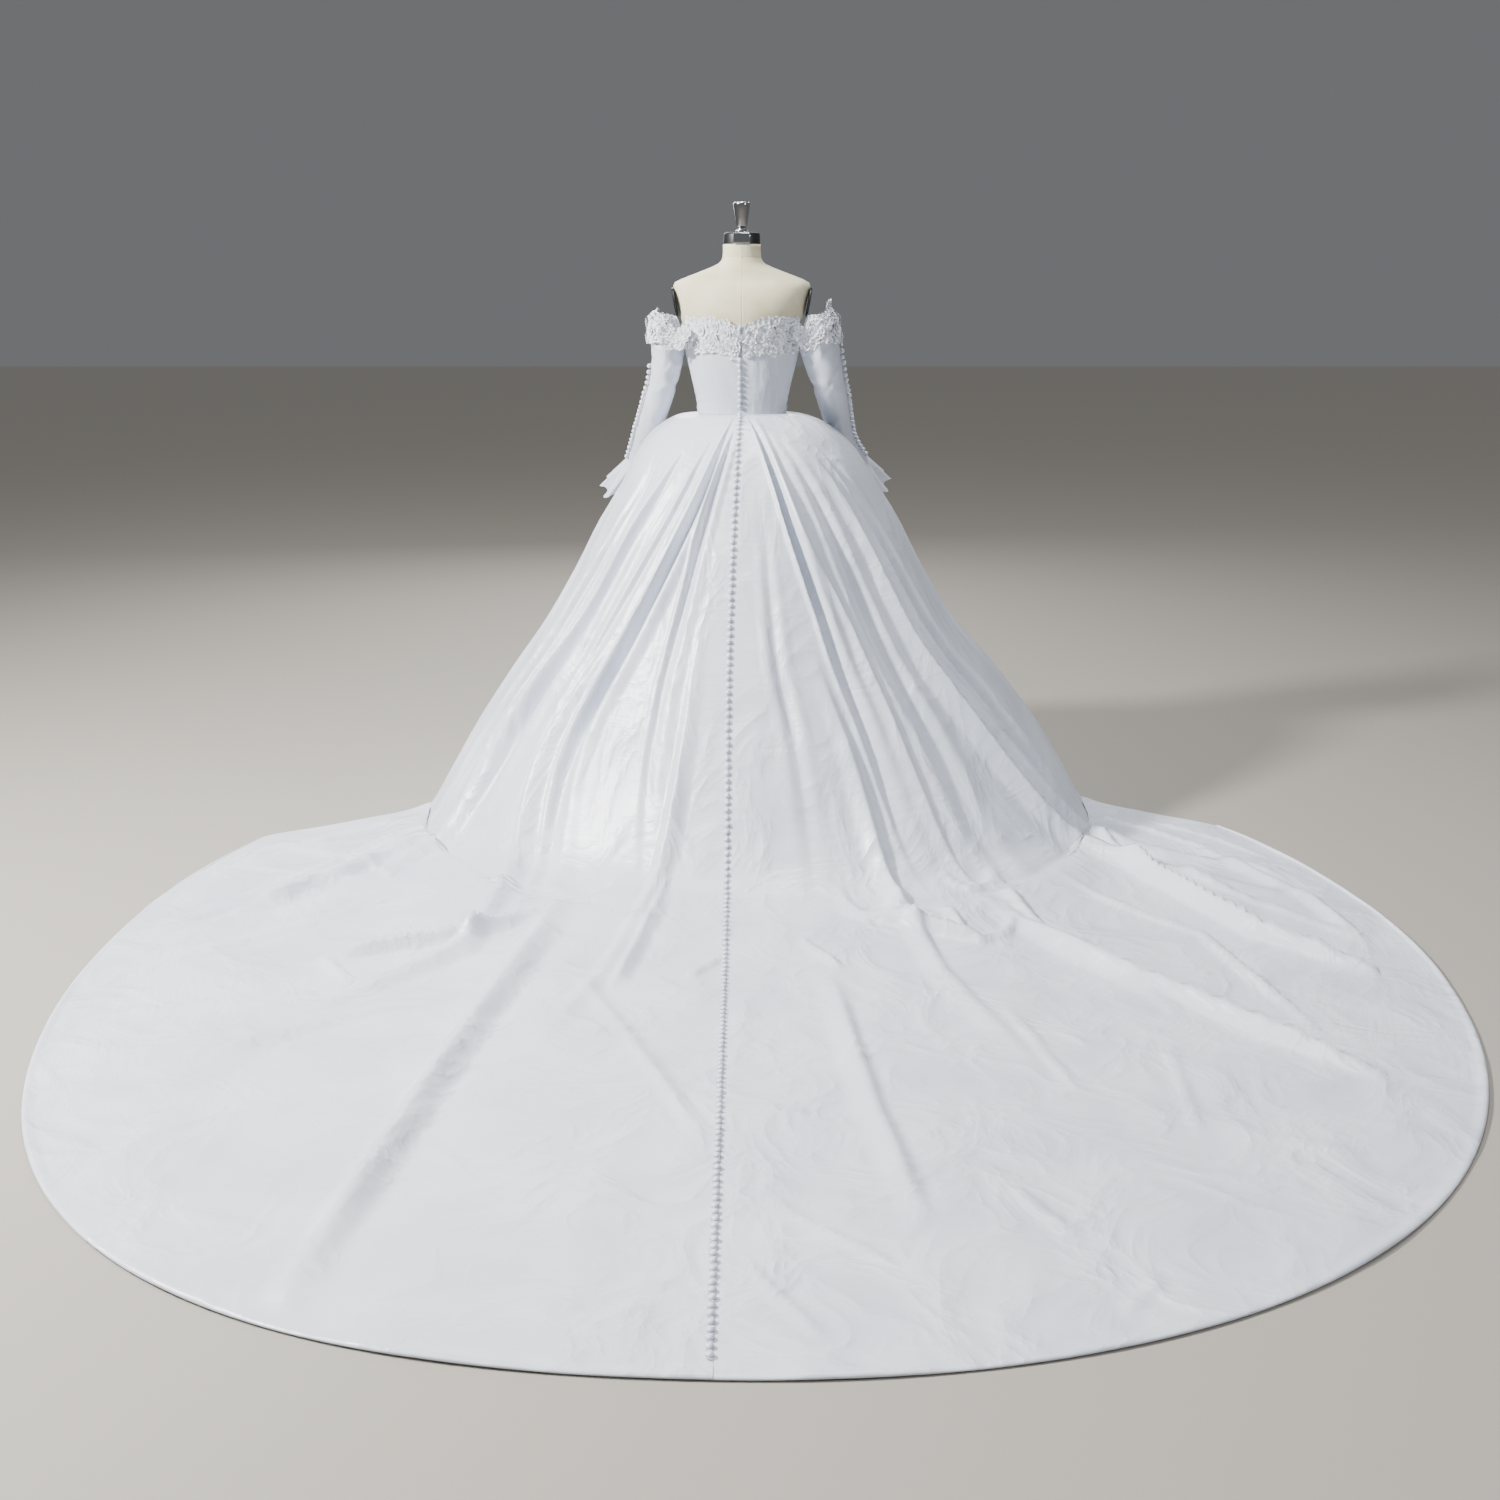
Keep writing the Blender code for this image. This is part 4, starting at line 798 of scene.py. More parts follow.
bpy.ops.mesh.primitive_cube_add(size=1)
plate = bpy.context.object
plate.name = "form_neck_plate_chromed"
platePlace = (0, form["capRadius"] + 0.0018, form["neckTop"] + form["capHeight"] / 2 - 0.0005)
plateSize = Matrix.Diagonal((*form["neckPlate"], form["capHeight"] - 0.0025, 1))
plate.data.transform(Matrix.Translation(platePlace) @ plateSize)
rounding = plate.modifiers.new("rounding", "BEVEL")
rounding.width = 0.0011
rounding.segments = 3
plate.data.materials.append(chrome)
plate.data.shade_smooth()
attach(plate, "root")
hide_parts("form_neck_plate")
pin = turnedPiece(
    "form_neck_pin", [(0, 0.0012), (0.0009, 0.0010), (0.0014, 0.0003), (0.0014, -0.0006), (0, -0.001)],
    chrome, [], steps=14,
)
pinPlace = ovalGrid(torsoRows, np.array([0.0]), np.array([form["neckSeamHeight"]]), 0.0006)[0]
pin.data.transform(Matrix.Translation(pinPlace) @ Matrix.Rotation(-math.pi / 2, 4, "X"))
print("form done")


# Bodice.


# Neckline heights, and how much higher it is at the sides.
bodice = {
    "backTop": 1.294,
    "backRise": 0.018,
    "frontTop": 1.286,
    "frontRise": 0.026,
    "columns": {"back": 70, "front": 110},
    "rows": 70,
}


# The neckline: lowest at the centre back, a shallow heart at the front.
def bodiceTop(angle):
    side = np.abs(np.sin(angle))
    back = bodice["backTop"] + bodice["backRise"] * ease(side * 1.6)
    front = bodice["frontTop"] + bodice["frontRise"] * ease(side * 1.3)
    return np.where(np.cos(angle) > 0, back, front)


def bodyPoint(angle, height, movedOut=0.0):
    return ovalGrid(bodyRows, angle, height, movedOut)


def bodicePanel(name, node, first, last, columns):
    turns = np.radians(np.linspace(first, last, columns + 1))
    angle, share = np.meshgrid(turns, np.linspace(1, 0, bodice["rows"]))
    height = dress["waistHeight"] + (bodiceTop(angle) - dress["waistHeight"]) * share
    centre = np.minimum(np.abs(angle), math.tau - np.abs(angle)) * backRadius
    drawn = 0.0009 * np.exp(-((centre / 0.03) ** 2)) * np.sin(height * 240 + 3 * np.sin(height * 60))
    side = np.exp(-(((np.abs(np.sin(angle)) - 1) / 0.25) ** 2)) * ease((1.16 - height) / 0.07)
    waist = 0.0010 * side * np.sin(height * 310 + angle * 4)
    wave = 0.0007 * swells(angle * 0.5, height * 2.0, height * 0)
    relief = np.clip(drawn * ease((1.25 - height) / 0.03) + waist + wave, -0.0004, 0.002)
    fade = ease(np.minimum(share, 1 - share) / 0.03)
    grid = bodyPoint(angle, height, relief * fade)
    for edge, inwards in ((0, 1), (-1, -1)):
        grid[:, edge, 0] += np.cos(turns[edge]) * inwards * dress["seamGap"] / 2
        grid[:, edge, 1] -= np.sin(turns[edge]) * inwards * dress["seamGap"] / 2
    piece = shellPiece(name, grid, satin, [node], uv=clothUv(grid))
    return grid


bodiceLeft = bodicePanel("bodice_back_left_cloth", "bodice_back_left", 0, 90, bodice["columns"]["back"])
bodicePanel("bodice_front_cloth", "bodice_front", 90, 270, bodice["columns"]["front"])
bodiceRight = bodicePanel(
    "bodice_back_right_cloth", "bodice_back_right", 270, 360, bodice["columns"]["back"],
)


# Sleeves and their cuff flounces.

sleeve = {
    "armholeDepth": 0.076,
    "armholeInner": 0.35,  # cosine of the turn where the armhole starts to dip
    "rings": 150,
    "columns": 72,
}
SleeveRow = namedtuple("SleeveRow", "leftX leftAcross rightX rightAcross y z depth")
sleeveRows = (
    SleeveRow(0.1940, 0.0450, 0.1975, 0.0485, 0.000, 1.322, 0.056),
    SleeveRow(0.1940, 0.0430, 0.2010, 0.0480, 0.000, 1.292, 0.054),
    SleeveRow(0.1950, 0.0410, 0.2060, 0.0470, -0.001, 1.258, 0.052),
    SleeveRow(0.1980, 0.0380, 0.2150, 0.0450, -0.006, 1.215, 0.048),
    SleeveRow(0.2050, 0.0365, 0.2250, 0.0430, -0.020, 1.170, 0.044),
    SleeveRow(0.2210, 0.0360, 0.2390, 0.0405, -0.050, 1.120, 0.041),
    SleeveRow(0.2400, 0.0350, 0.2530, 0.0370, -0.092, 1.068, 0.038),
    SleeveRow(0.2580, 0.0330, 0.2660, 0.0340, -0.134, 1.022, 0.036),
    SleeveRow(0.2740, 0.0310, 0.2880, 0.0320, -0.168, 0.980, 0.033),
    SleeveRow(0.2890, 0.0300, 0.3160, 0.0310, -0.195, 0.942, 0.031),
)
lastRow = len(sleeveRows) - 1

# Drag folds of a sleeve: where along it (in table rows), where round it, reach both ways, slant, height.
DragFold = namedtuple("DragFold", "at turn reach spread slant height")
dragFolds = (
    DragFold(2.2, 60, 0.19, 50, 0.010, 0.0038),
    DragFold(2.8, 130, 0.17, 45, -0.012, 0.0035),
    DragFold(3.3, 40, 0.17, 60, 0.014, -0.0035),
    DragFold(3.9, 100, 0.19, 50, -0.010, 0.0042),
    DragFold(4.5, 200, 0.20, 60, 0.012, -0.0042),
    DragFold(4.9, 250, 0.17, 55, 0.006, 0.0042),
    DragFold(5.4, 190, 0.17, 60, -0.008, -0.0045),
    DragFold(5.6, 70, 0.15, 60, 0.010, 0.0035),
    DragFold(6.1, 230, 0.19, 50, 0.008, 0.0038),
    DragFold(6.6, 120, 0.17, 60, -0.010, -0.0035),
    DragFold(7.2, 60, 0.15, 60, 0.008, 0.0032),
    DragFold(7.8, 160, 0.15, 60, -0.006, 0.0032),
    DragFold(8.3, 280, 0.15, 60, 0.004, -0.0029),
)


# Centre, outward and backward directions of a sleeve's sections, and along it.
def frameAlong(side, at):
    sign = 1 if side == "left" else -1
    rows = np.arange(len(sleeveRows), dtype=float)

    def centre(place):
        read = [smoothRead(rows, column(sleeveRows, name), place) for name in (side + "X", "y", "z")]
        return np.stack([sign * read[0], read[1], read[2]], axis=-1)

    along = centre(np.minimum(at + 1, lastRow)) - centre(np.maximum(at - 1, 0))
    along /= np.linalg.norm(along, axis=-1)[:, None]
    upright = ease(at - 2)[:, None]
    along = along * upright + np.array([0, 0, -1.0]) * (1 - upright)
    along /= np.linalg.norm(along, axis=-1)[:, None]
    out = np.array([sign, 0, 0]) - along * (along[:, :1] * sign)
    out /= np.linalg.norm(out, axis=-1)[:, None]
    back = np.cross(along, out) * (1 if sign > 0 else -1)
    back *= np.sign(back[:, 1:2])
    return centre(at), along, out, back


def sleeveGrid(side, at, turns, movedOut=0.0, folds=True):
    centre, _, out, back = frameAlong(side, at)
    rows = np.arange(len(sleeveRows), dtype=float)
    across = smoothRead(rows, column(sleeveRows, side + "Across"), at)[:, None]
    depth = smoothRead(rows, column(sleeveRows, "depth"), at)[:, None]
    relief = np.zeros((len(at), len(turns))) + movedOut
    if folds:
        for fold in dragFolds:
            turn = (turns - math.radians(fold.turn) + math.pi) % math.tau - math.pi
            nearTurn = np.exp(-((turn / math.radians(fold.spread)) ** 2))[None, :]
            shifted = at[:, None] - fold.at - fold.slant * np.degrees(turn)[None, :]
            relief += fold.height * nearTurn * np.exp(-((shifted / fold.reach) ** 2))
    grid = centre[:, None] + out[:, None] * ((across + relief) * np.cos(turns))[..., None]
    grid += back[:, None] * ((depth + relief) * np.sin(turns))[..., None]
    inward = (-np.cos(turns) - sleeve["armholeInner"]) / (1 - sleeve["armholeInner"])
    drop = sleeve["armholeDepth"] * ease(inward)[None, :] * np.maximum(1 - at / 4, 0)[:, None]
    grid[..., 2] -= drop
    return grid


cuff = {
    "waves": 7,
    "reach": (0.050, -0.042, -0.070),  # from the wrist to the hem's middle, for the left cuff
    "longer": {"left": 1.22, "right": 1.06},
    "hemRadius": 0.044,
    "waveHeight": 0.0095,
    "waveSink": 0.0078,
    "columns": 168,
    "rows": 30,
}


# A flared flounce whose ruffle waves grow towards its hem, one of them deep and doubled.
def cuffGrid(side):
    sign = 1 if side == "left" else -1
    _, along, out, back = (part[0] for part in frameAlong(side, np.array([float(lastRow)])))
    wrist = np.array([sign * getattr(sleeveRows[-1], side + "X"), sleeveRows[-1].y, sleeveRows[-1].z])
    around = np.linspace(0, math.tau, cuff["columns"], endpoint=False)
    turns, share = np.meshgrid(around, np.linspace(0, 1, cuff["rows"]))
    reach = np.array(cuff["reach"]) * [sign, 1, 1] * cuff["longer"][side]
    across = getattr(sleeveRows[-1], side + "Across")
    wave = np.cos(cuff["waves"] * turns + 0.5 * np.sin(2 * turns))
    fine = 0.0014 * share**2 * np.sin(19 * turns + 1.3)
    size = across + (cuff["hemRadius"] - across) * share**0.9 + cuff["waveHeight"] * share * wave + fine
    sink = cuff["waveSink"] * share * np.cos(cuff["waves"] * turns + 1.2) + 0.003 * share * np.sin(turns * 3)
    points = wrist + along * 0.00045 + share[..., None] * reach
    points = points + out * (size * np.cos(turns))[..., None] + back * (size * np.sin(turns))[..., None]
    return points + along * sink[..., None]


sleeveGrids = {}
for side in ("left", "right"):
    at = np.linspace(0, lastRow, sleeve["rings"])
    turns = np.linspace(0, math.tau, sleeve["columns"], endpoint=False)
    grid = sleeveGrid(side, at, turns)
    sleeveGrids[side] = (at, turns, grid)
    flip = side == "left"
    piece = shellPiece(
        "sleeve_" + side + "_cloth", grid, satin, ["sleeve_" + side], ring=True, flip=flip,
        uv=clothUv(grid),
    )
    grid = cuffGrid(side)
    piece = shellPiece(
        "cuff_" + side + "_cloth", grid, satin, ["cuff_" + side], ring=True, flip=flip,
        uv=clothUv(grid),
    )
print("bodice and sleeves done")


# Flower lace: a thin net band, and on it flowers of cupped petals in three whorls, with clear beads.


# White corded lace: matt yarn with a fine raised net, lit a little from behind.
def laceMaterial():
    made, tree, shader = newMaterial("white corded flower lace")
    body = addNode(tree, "ShaderNodeTexCoord").outputs["Object"]
    cells = addNode(
        tree, "ShaderNodeTexVoronoi", [("Vector", body)], feature="DISTANCE_TO_EDGE", Scale=520.0,
    )
    yarn = addNode(tree, "ShaderNodeTexNoise", [("Vector", body)], Scale=160.0, Detail=4.0)
    petal = addNode(tree, "ShaderNodeAttribute", attribute_name="petal").outputs["Fac"]
    # The petals run from grey hearts to white rims and the net is grey: partly the sheer lace with satin
    # behind it, partly painted shade under and between the petals.
    ramp = addNode(tree, "ShaderNodeValToRGB", [("Fac", petal)])
    ramp.color_ramp.elements[0].color = toLinear("#A9AFBD")
    ramp.color_ramp.elements[1].color = toLinear("#F6F7FA")
    middle = ramp.color_ramp.elements.new(0.55)
    middle.color = toLinear("#D2D6DF")
    tree.links.new(ramp.outputs["Color"], shader.inputs["Base Color"])
    shader.inputs["Roughness"].default_value = 0.6
    shader.inputs["Sheen Weight"].default_value = 0.15
    bumpChain(tree, shader, [(cells.outputs["Distance"], 0.6, 0.0005), (yarn.outputs["Fac"], 0.3, 0.0005)])
    return made


# Clear faceted glass beads sewn at the flowers' hearts, seen as small bright points.
def beadMaterial():
    made, tree, shader = newMaterial("clear glass beads, sewn on")
    shader.inputs["Base Color"].default_value = toLinear("#E8ECF4")
    shader.inputs["Roughness"].default_value = 0.06
    shader.inputs["Transmission Weight"].default_value = 0.35
    shader.inputs["IOR"].default_value = 1.52
    body = addNode(tree, "ShaderNodeTexCoord").outputs["Object"]
    cuts = addNode(tree, "ShaderNodeTexVoronoi", [("Vector", body)], Scale=900.0)
    bumpChain(tree, shader, [(cuts.outputs["Distance"], 0.4, 0.0004)])
    return made


laceYarn = laceMaterial()
glass = beadMaterial()
lace = {
    "lift": 0.0013,  # off the satin
    "bodiceBand": 0.056,  # widths of the bands
    "sleeveBand": 0.060,
    "sleeveFoot": 1.272,
    "sleeveRise": {"left": 0.012, "right": 0.032},  # how much higher the band is at the outside
    "sleeveLean": {"left": 0.030, "right": 0.024},  # how far its free top leans in there
    "scallop": 0.0035,
    "scallopLength": 0.016,
    "largeFlower": 0.012,  # a flower of at least this radius has a ring of beads round its heart
    "ringBeads": 5,
    "ringRadius": 0.0040,
    "beadSizes": {"large": 0.0019, "small": 0.0013, "ring": 0.0012},
    "beadHeights": {"large": 0.0088, "small": 0.0052},
}
Flower = namedtuple("Flower", "along up radius turn")
Whorl = namedtuple("Whorl", "count start length width lift rise")
flowerWhorls = (
    Whorl(8, 0.42, 0.62, 0.30, 0.0010, 0.0052),
    Whorl(6, 0.20, 0.50, 0.26, 0.0034, 0.0046),
    Whorl(4, 0.02, 0.34, 0.20, 0.0062, 0.0036),
)
floretWhorls = (Whorl(5, 0.10, 0.90, 0.42, 0.0022, 0.0048),)


# One cupped petal in its own plane: out along x, its sides and tip turned up.
def petalGrid(length, width, rise, rows=7, columns=6):
    share, side = np.meshgrid(np.linspace(0, 1, rows), np.linspace(-1, 1, columns), indexing="ij")
    half = width * np.sqrt(np.clip(1 - ((share - 0.58) / 0.60) ** 2, 0.0, 1.0)) + 0.0004
    tip = 1 + 0.06 * np.cos(side * math.pi * 1.5)
    x = length * share * tip
    height = rise * (0.15 + 0.85 * share**1.5) + rise * 0.55 * side**2 * share - rise * 0.5 * share**4
    return np.stack([x, half * side, height], axis=-1)


# Petals as (points in band coordinates, rows, columns).
def flowerParts(flower, whorls, random):
    parts = []
    for level, whorl in enumerate(whorls):
        for k in range(whorl.count):
            turn = flower.turn + math.tau * (k + 0.5 * level) / whorl.count + random.uniform(-0.10, 0.10)
            size = flower.radius * random.uniform(0.92, 1.06)
            grid = petalGrid(whorl.length * size, whorl.width * size, whorl.rise * random.uniform(0.8, 1.15))
            x = grid[..., 0] + whorl.start * size
            along = flower.along + x * math.cos(turn) - grid[..., 1] * math.sin(turn)
            up = flower.up + x * math.sin(turn) + grid[..., 1] * math.cos(turn)
            parts.append(np.stack([along, up, grid[..., 2] + whorl.lift], axis=-1))
    return parts


def beadShape():
    work = bmesh.new()
    bmesh.ops.create_icosphere(work, subdivisions=1, radius=1.0)
    points = np.array([vertex.co[:] for vertex in work.verts])
    faces = [[vertex.index for vertex in face.verts] for face in work.faces]
    work.free()
    return points, faces


beadPoints, beadFaces = beadShape()


def lacePiece(name, node, place, length, width, flowers, florets, seed, bridging=()):
    random = np.random.default_rng(seed)
    points, faces, petalToneAndShade = [], [], []
    count = 0

    def addGrid(grid, place, heart=0.0, rim=1.0):
        nonlocal count
        rows, columns = grid.shape[:2]
        points.append(place(grid[..., 0], grid[..., 1], lace["lift"] + grid[..., 2]).reshape(-1, 3))
        share, side = np.meshgrid(np.linspace(0, 1, rows), np.linspace(-1, 1, columns), indexing="ij")
        # Petal tone from heart to rim: partly sheer lace, partly painted shade under the whorls above.
        petalToneAndShade.append((heart + (rim - heart) * np.maximum(share**1.3, side**4)).reshape(-1))
        index = np.arange(rows * columns).reshape(rows, columns) + count
        corners = [index[:-1, :-1], index[1:, :-1], index[1:, 1:], index[:-1, 1:]]
        faces.extend(np.stack(corners, axis=-1).reshape(-1, 4).tolist())
        count += rows * columns

    along, up = np.meshgrid(np.linspace(0, length, 90), np.linspace(0, width, 14))
    scallops = np.abs(np.sin(along * math.pi / lace["scallopLength"]))
    scallop = lace["scallop"] * scallops * (up / width - 0.5) * 2
    edge = np.where((up == 0) | (up == width), scallop, 0.0)
    # The net gets a grey tone: partly the satin showing through, partly painted shade between the flowers.
    addGrid(np.stack([along, up + edge, 0.0004 + 0 * up], axis=-1), place, 0.2, 0.2)
    for flower in flowers:
        for part in flowerParts(flower, flowerWhorls, random):
            addGrid(part, place)
    for floret in florets:
        for part in flowerParts(floret, floretWhorls, random):
            addGrid(part, place)
    for flower, bridge in bridging:
        for part in flowerParts(flower, flowerWhorls, random):
            addGrid(part, bridge)
    plain = len(faces)
    for flower in list(flowers) + list(florets):
        kind = "large" if flower.radius > lace["largeFlower"] else "small"
        spots = [(0.0, 0.0, lace["beadSizes"][kind])]
        if kind == "large":
            ring = np.arange(lace["ringBeads"]) * math.tau / lace["ringBeads"]
            reach, size = lace["ringRadius"], lace["beadSizes"]["ring"]
            spots += [(reach * math.cos(turn), reach * math.sin(turn), size) for turn in ring]
        high = lace["lift"] + lace["beadHeights"][kind]
        for x, y, size in spots:
            centre = place(np.array([flower.along + x]), np.array([flower.up + y]), np.array([high]))
            points.append(centre + beadPoints * size)
            faces.extend([[corner + count for corner in face] for face in beadFaces])
            petalToneAndShade.append(np.ones(len(beadPoints)))
            count += len(beadPoints)
    made = meshPiece(name, np.concatenate(points), faces, laceYarn, [node], sharp=60)
    petal = made.data.attributes.new("petal", "FLOAT", "POINT")
    petal.data.foreach_set("value", np.concatenate(petalToneAndShade).astype(np.float32))
    made.data.materials.append(glass)
    for polygon in made.data.polygons[plain:]:
        polygon.material_index = 1
    made.data.polygons.foreach_set("use_smooth", np.ones(len(made.data.polygons), bool))
    return made


# Small flowers along both edges, which make the scalloped outline.
def edgeFlorets(length, width, seed, spacing=0.0135):
    random = np.random.default_rng(seed)
    florets = []
    for k in range(int(length / spacing) + 1):
        along = k * spacing + random.uniform(-0.002, 0.002)
        radius = random.uniform(0.0075, 0.0100)
        for shift, edge in ((0.0, width), (0.5 * spacing, 0.001)):
            up = edge + random.uniform(-0.003, 0.003)
            florets.append(Flower(along + shift, up, radius, random.uniform(0, 6)))
    return florets


# Uneven flowers in two rows along a band that the photo hides.
def rowFlowers(length, width, seed):
    random = np.random.default_rng(seed)
    flowers = []
    count = max(round(length / 0.034), 3)
    for k in range(count):
        along = (k + 0.5) * length / count + random.uniform(-0.003, 0.003)
        large, small = (0.68, 0.12) if k % 2 else (0.34, 0.86)  # how far up the band each stands
        for up, least, most in ((large, 0.020, 0.026), (small, 0.013, 0.016)):
            radius = random.uniform(least, most)
            flowers.append(Flower(along, width * up, radius, random.uniform(0, 6)))
    return flowers


def laceFoot(angle):
    lowest = np.where(np.cos(angle) > 0, 1.239, 1.235)
    return lowest + 0.012 * ease(np.abs(np.sin(angle)) * 1.5)


def bodicePlace(first, last, length):
    def place(along, up, movedOut):
        angle = np.radians(first + (last - first) * along / length)
        low = laceFoot(angle)
        high = bodiceTop(angle) + 0.006
        return bodyPoint(angle, low + (high - low) * up / lace["bodiceBand"], movedOut)
    return place


def sleevePlace(side, turnEnd, length):
    sign = 1 if side == "left" else -1
    rise = lace["sleeveRise"][side]
    lean = lace["sleeveLean"][side]
    top, third = sleeveRows[0], sleeveRows[2]

    def place(along, up, movedOut):
        angle = turnEnd - 2 * turnEnd * along / length
        if sign < 0:
            angle = -angle
        outward = np.maximum(np.cos(angle), 0.0)
        high = top.z + 0.004 + rise * np.minimum(outward / 0.75, 1.0) ** 2
        flatZ = lace["sleeveFoot"] + (high - lace["sleeveFoot"]) * up / lace["sleeveBand"]
        share = np.clip((top.z - flatZ) / (top.z - third.z), 0.0, 1.0)
        x = getattr(top, side + "X") * (1 - share) + getattr(third, side + "X") * share
        inward = (-np.cos(angle) - sleeve["armholeInner"]) / (1 - sleeve["armholeInner"])
        z = flatZ - sleeve["armholeDepth"] * ease(inward) * np.maximum(1 - 2 * share / 4, 0.0)
        over = np.clip((flatZ - top.z) / 0.030, 0.0, 1.0)
        x = x - lean * over ** 1.5 * outward
        across = getattr(top, side + "Across") + movedOut
        out = sign * (x + across * np.cos(angle))
        return np.stack([out, (top.depth + movedOut) * np.sin(angle), z], axis=-1)
    return place


# A flower that spans the gap from bodice to sleeve, facing back or front.
def bridgePlace(sign, facing, x, y, z, turn):
    def place(along, up, movedOut):
        across = np.cos(turn) * along
        return np.stack([
            sign * (x + across), facing * (y + movedOut - np.sin(turn) * along), z + up,
        ], axis=-1)
    return place


# Flowers between bodice and sleeve: x, y, height, radius and turn of each.
bridgingFlowers = (
    (0.150, 0.072, 1.286, 0.021, 0.5),
    (0.171, 0.064, 1.272, 0.022, 0.3),
    (0.190, 0.061, 1.292, 0.020, 0.0),
    (0.160, 0.068, 1.262, 0.015, 0.4),
    (0.186, 0.062, 1.262, 0.014, 0.1),
)


def bridgesFor(side, facing):
    sign = 1 if side == "left" else -1
    return [
        (Flower(0, 0, radius, index * 1.3), bridgePlace(sign, facing, x, y, z, turn))
        for index, (x, y, z, radius, turn) in enumerate(bridgingFlowers)
    ]


sideAngle, frontHalf, backGap = 76, 73, 0.4  # where the bands end, in degrees
bustRadius = 0.125
backLength = math.radians(sideAngle - backGap) * bustRadius
# Each flower: along the band from the centre back, up it, and its radius.
backFlowers = {
    "left": (
        (0.046, 0.038, 0.022), (0.030, 0.010, 0.026), (0.112, 0.036, 0.027), (0.086, 0.012, 0.019),
        (0.150, 0.034, 0.021), (0.132, 0.006, 0.017), (0.078, 0.046, 0.018), (0.014, 0.038, 0.014),
        (0.060, 0.004, 0.014), (0.162, 0.010, 0.014), (0.104, 0.002, 0.012),
    ),
    "right": (
        (0.032, 0.036, 0.022), (0.098, 0.012, 0.029), (0.140, 0.036, 0.025), (0.066, 0.038, 0.022),
        (0.020, 0.008, 0.018), (0.056, 0.006, 0.018), (0.150, 0.006, 0.017), (0.112, 0.048, 0.017),
        (0.009, 0.034, 0.012), (0.128, 0.000, 0.012),
    ),
}
for side in ("left", "right"):
    table = backFlowers[side]
    if side == "left":
        first, last = backGap, sideAngle
        flowers = [Flower(along, up, radius, along * 90) for along, up, radius in table]
    else:
        first, last = 360 - sideAngle, 360 - backGap
        flowers = [Flower(backLength - along, up, radius, along * 90) for along, up, radius in table]
    seed = 11 if side == "left" else 12
    florets = edgeFlorets(backLength, lace["bodiceBand"], seed)
    florets = [floret for floret in florets if 0.008 < floret.along < backLength - 0.008]
    lacePiece(
        "lace_back_" + side + "_flowers", "lace_back_" + side, bodicePlace(first, last, backLength),
        backLength, lace["bodiceBand"], flowers, florets, seed, bridgesFor(side, 1),
    )
    turnEnd = math.radians(136)
    sleeveLength = 2 * turnEnd * 0.052
    lacePiece(
        "lace_sleeve_" + side + "_flowers", "lace_sleeve_" + side, sleevePlace(side, turnEnd, sleeveLength),
        sleeveLength, lace["sleeveBand"], rowFlowers(sleeveLength, lace["sleeveBand"], seed + 10),
        edgeFlorets(sleeveLength, lace["sleeveBand"], seed + 20), seed + 30, bridgesFor(side, -1),
    )
frontLength = math.radians(2 * frontHalf) * bustRadius
lacePiece(
    "lace_front_flowers", "lace_front", bodicePlace(180 - frontHalf, 180 + frontHalf, frontLength),
    frontLength, lace["bodiceBand"], rowFlowers(frontLength, lace["bodiceBand"], 51),
    edgeFlorets(frontLength, lace["bodiceBand"], 52), 53,
)
print("lace done")


# Covered buttons, each with its loop of rouleau cord.

# Spacing along each row, shift off its seam, and the lift, radius and height of a button.
buttons = {
    "skirt": {"spacing": 0.0180, "shift": 0.0055, "lift": 0.0012, "radius": 0.0058, "high": 0.0072},
    "train": {"spacing": 0.0180, "shift": 0.0055, "lift": 0.0012, "radius": 0.0058, "high": 0.0072},
    "bodice": {"spacing": 0.0148, "shift": 0.0052, "lift": 0.0012, "radius": 0.0058, "high": 0.0072},
    "sleeve": {"spacing": 0.0160, "shift": 0.0, "lift": 0.0015, "radius": 0.0060, "high": 0.0094},
}
loopCord = 0.0007  # radius of the cord
# Shares of a button's radius and height, from its neck to its top.
domeProfile = ((0.50, 0.00), (0.84, 0.14), (1.00, 0.40), (0.93, 0.66), (0.68, 0.87), (0.34, 0.98))


# A dome of 14 sides, with its small flat back left open on the cloth.
def buttonParts(radius, buttonHeight):
    sides = 14
    around = [(math.cos(math.tau * k / sides), math.sin(math.tau * k / sides)) for k in range(sides)]
    points = [
        (radius * share * x, radius * share * y, buttonHeight * high)
        for share, high in domeProfile for x, y in around
    ]
    points.append((0, 0, buttonHeight))
    points.append((0, 0, 0))
    faces = []
    rings = len(domeProfile)
    for k in range(sides):
        after = (k + 1) % sides
        for ring in range(rings - 1):
            low, high = ring * sides, (ring + 1) * sides
            faces.append([low + k, low + after, high + after, high + k])
        faces.append([(rings - 1) * sides + k, (rings - 1) * sides + after, rings * sides])
        faces.append([after, k, rings * sides + 1])
    return np.array(points), faces


# The loop comes from the seam's other side, round the button's neck.
def loopParts(radius):
    steps, sides = 12, 5
    share = np.linspace(0, 1, steps)
    x = -0.0050 + (0.0050 + radius + 0.0009) * np.sin(share * math.pi) ** 0.6
    y = (radius + 0.0006) * np.cos(share * math.pi)
    centre = np.stack([x, y, 0.0007 + 0 * x], axis=-1)
    along = np.gradient(centre, axis=0)
    along /= np.linalg.norm(along, axis=-1)[:, None]
    side = np.cross(along, [0, 0, 1])
    points = []
    for k in range(sides):
        turn = math.tau * k / sides
        upwards = np.array([0, 0, 1]) * (loopCord * math.sin(turn))
        points.append(centre + side * (loopCord * math.cos(turn)) + upwards)
    points = np.stack(points, axis=1).reshape(-1, 3)
    faces = [
        [s * sides + k, s * sides + (k + 1) % sides, (s + 1) * sides + (k + 1) % sides, (s + 1) * sides + k]
        for s in range(steps - 1) for k in range(sides)
    ]
    faces.append(list(range(sides))[::-1])
    faces.append([(steps - 1) * sides + k for k in range(sides)])
    return points, faces


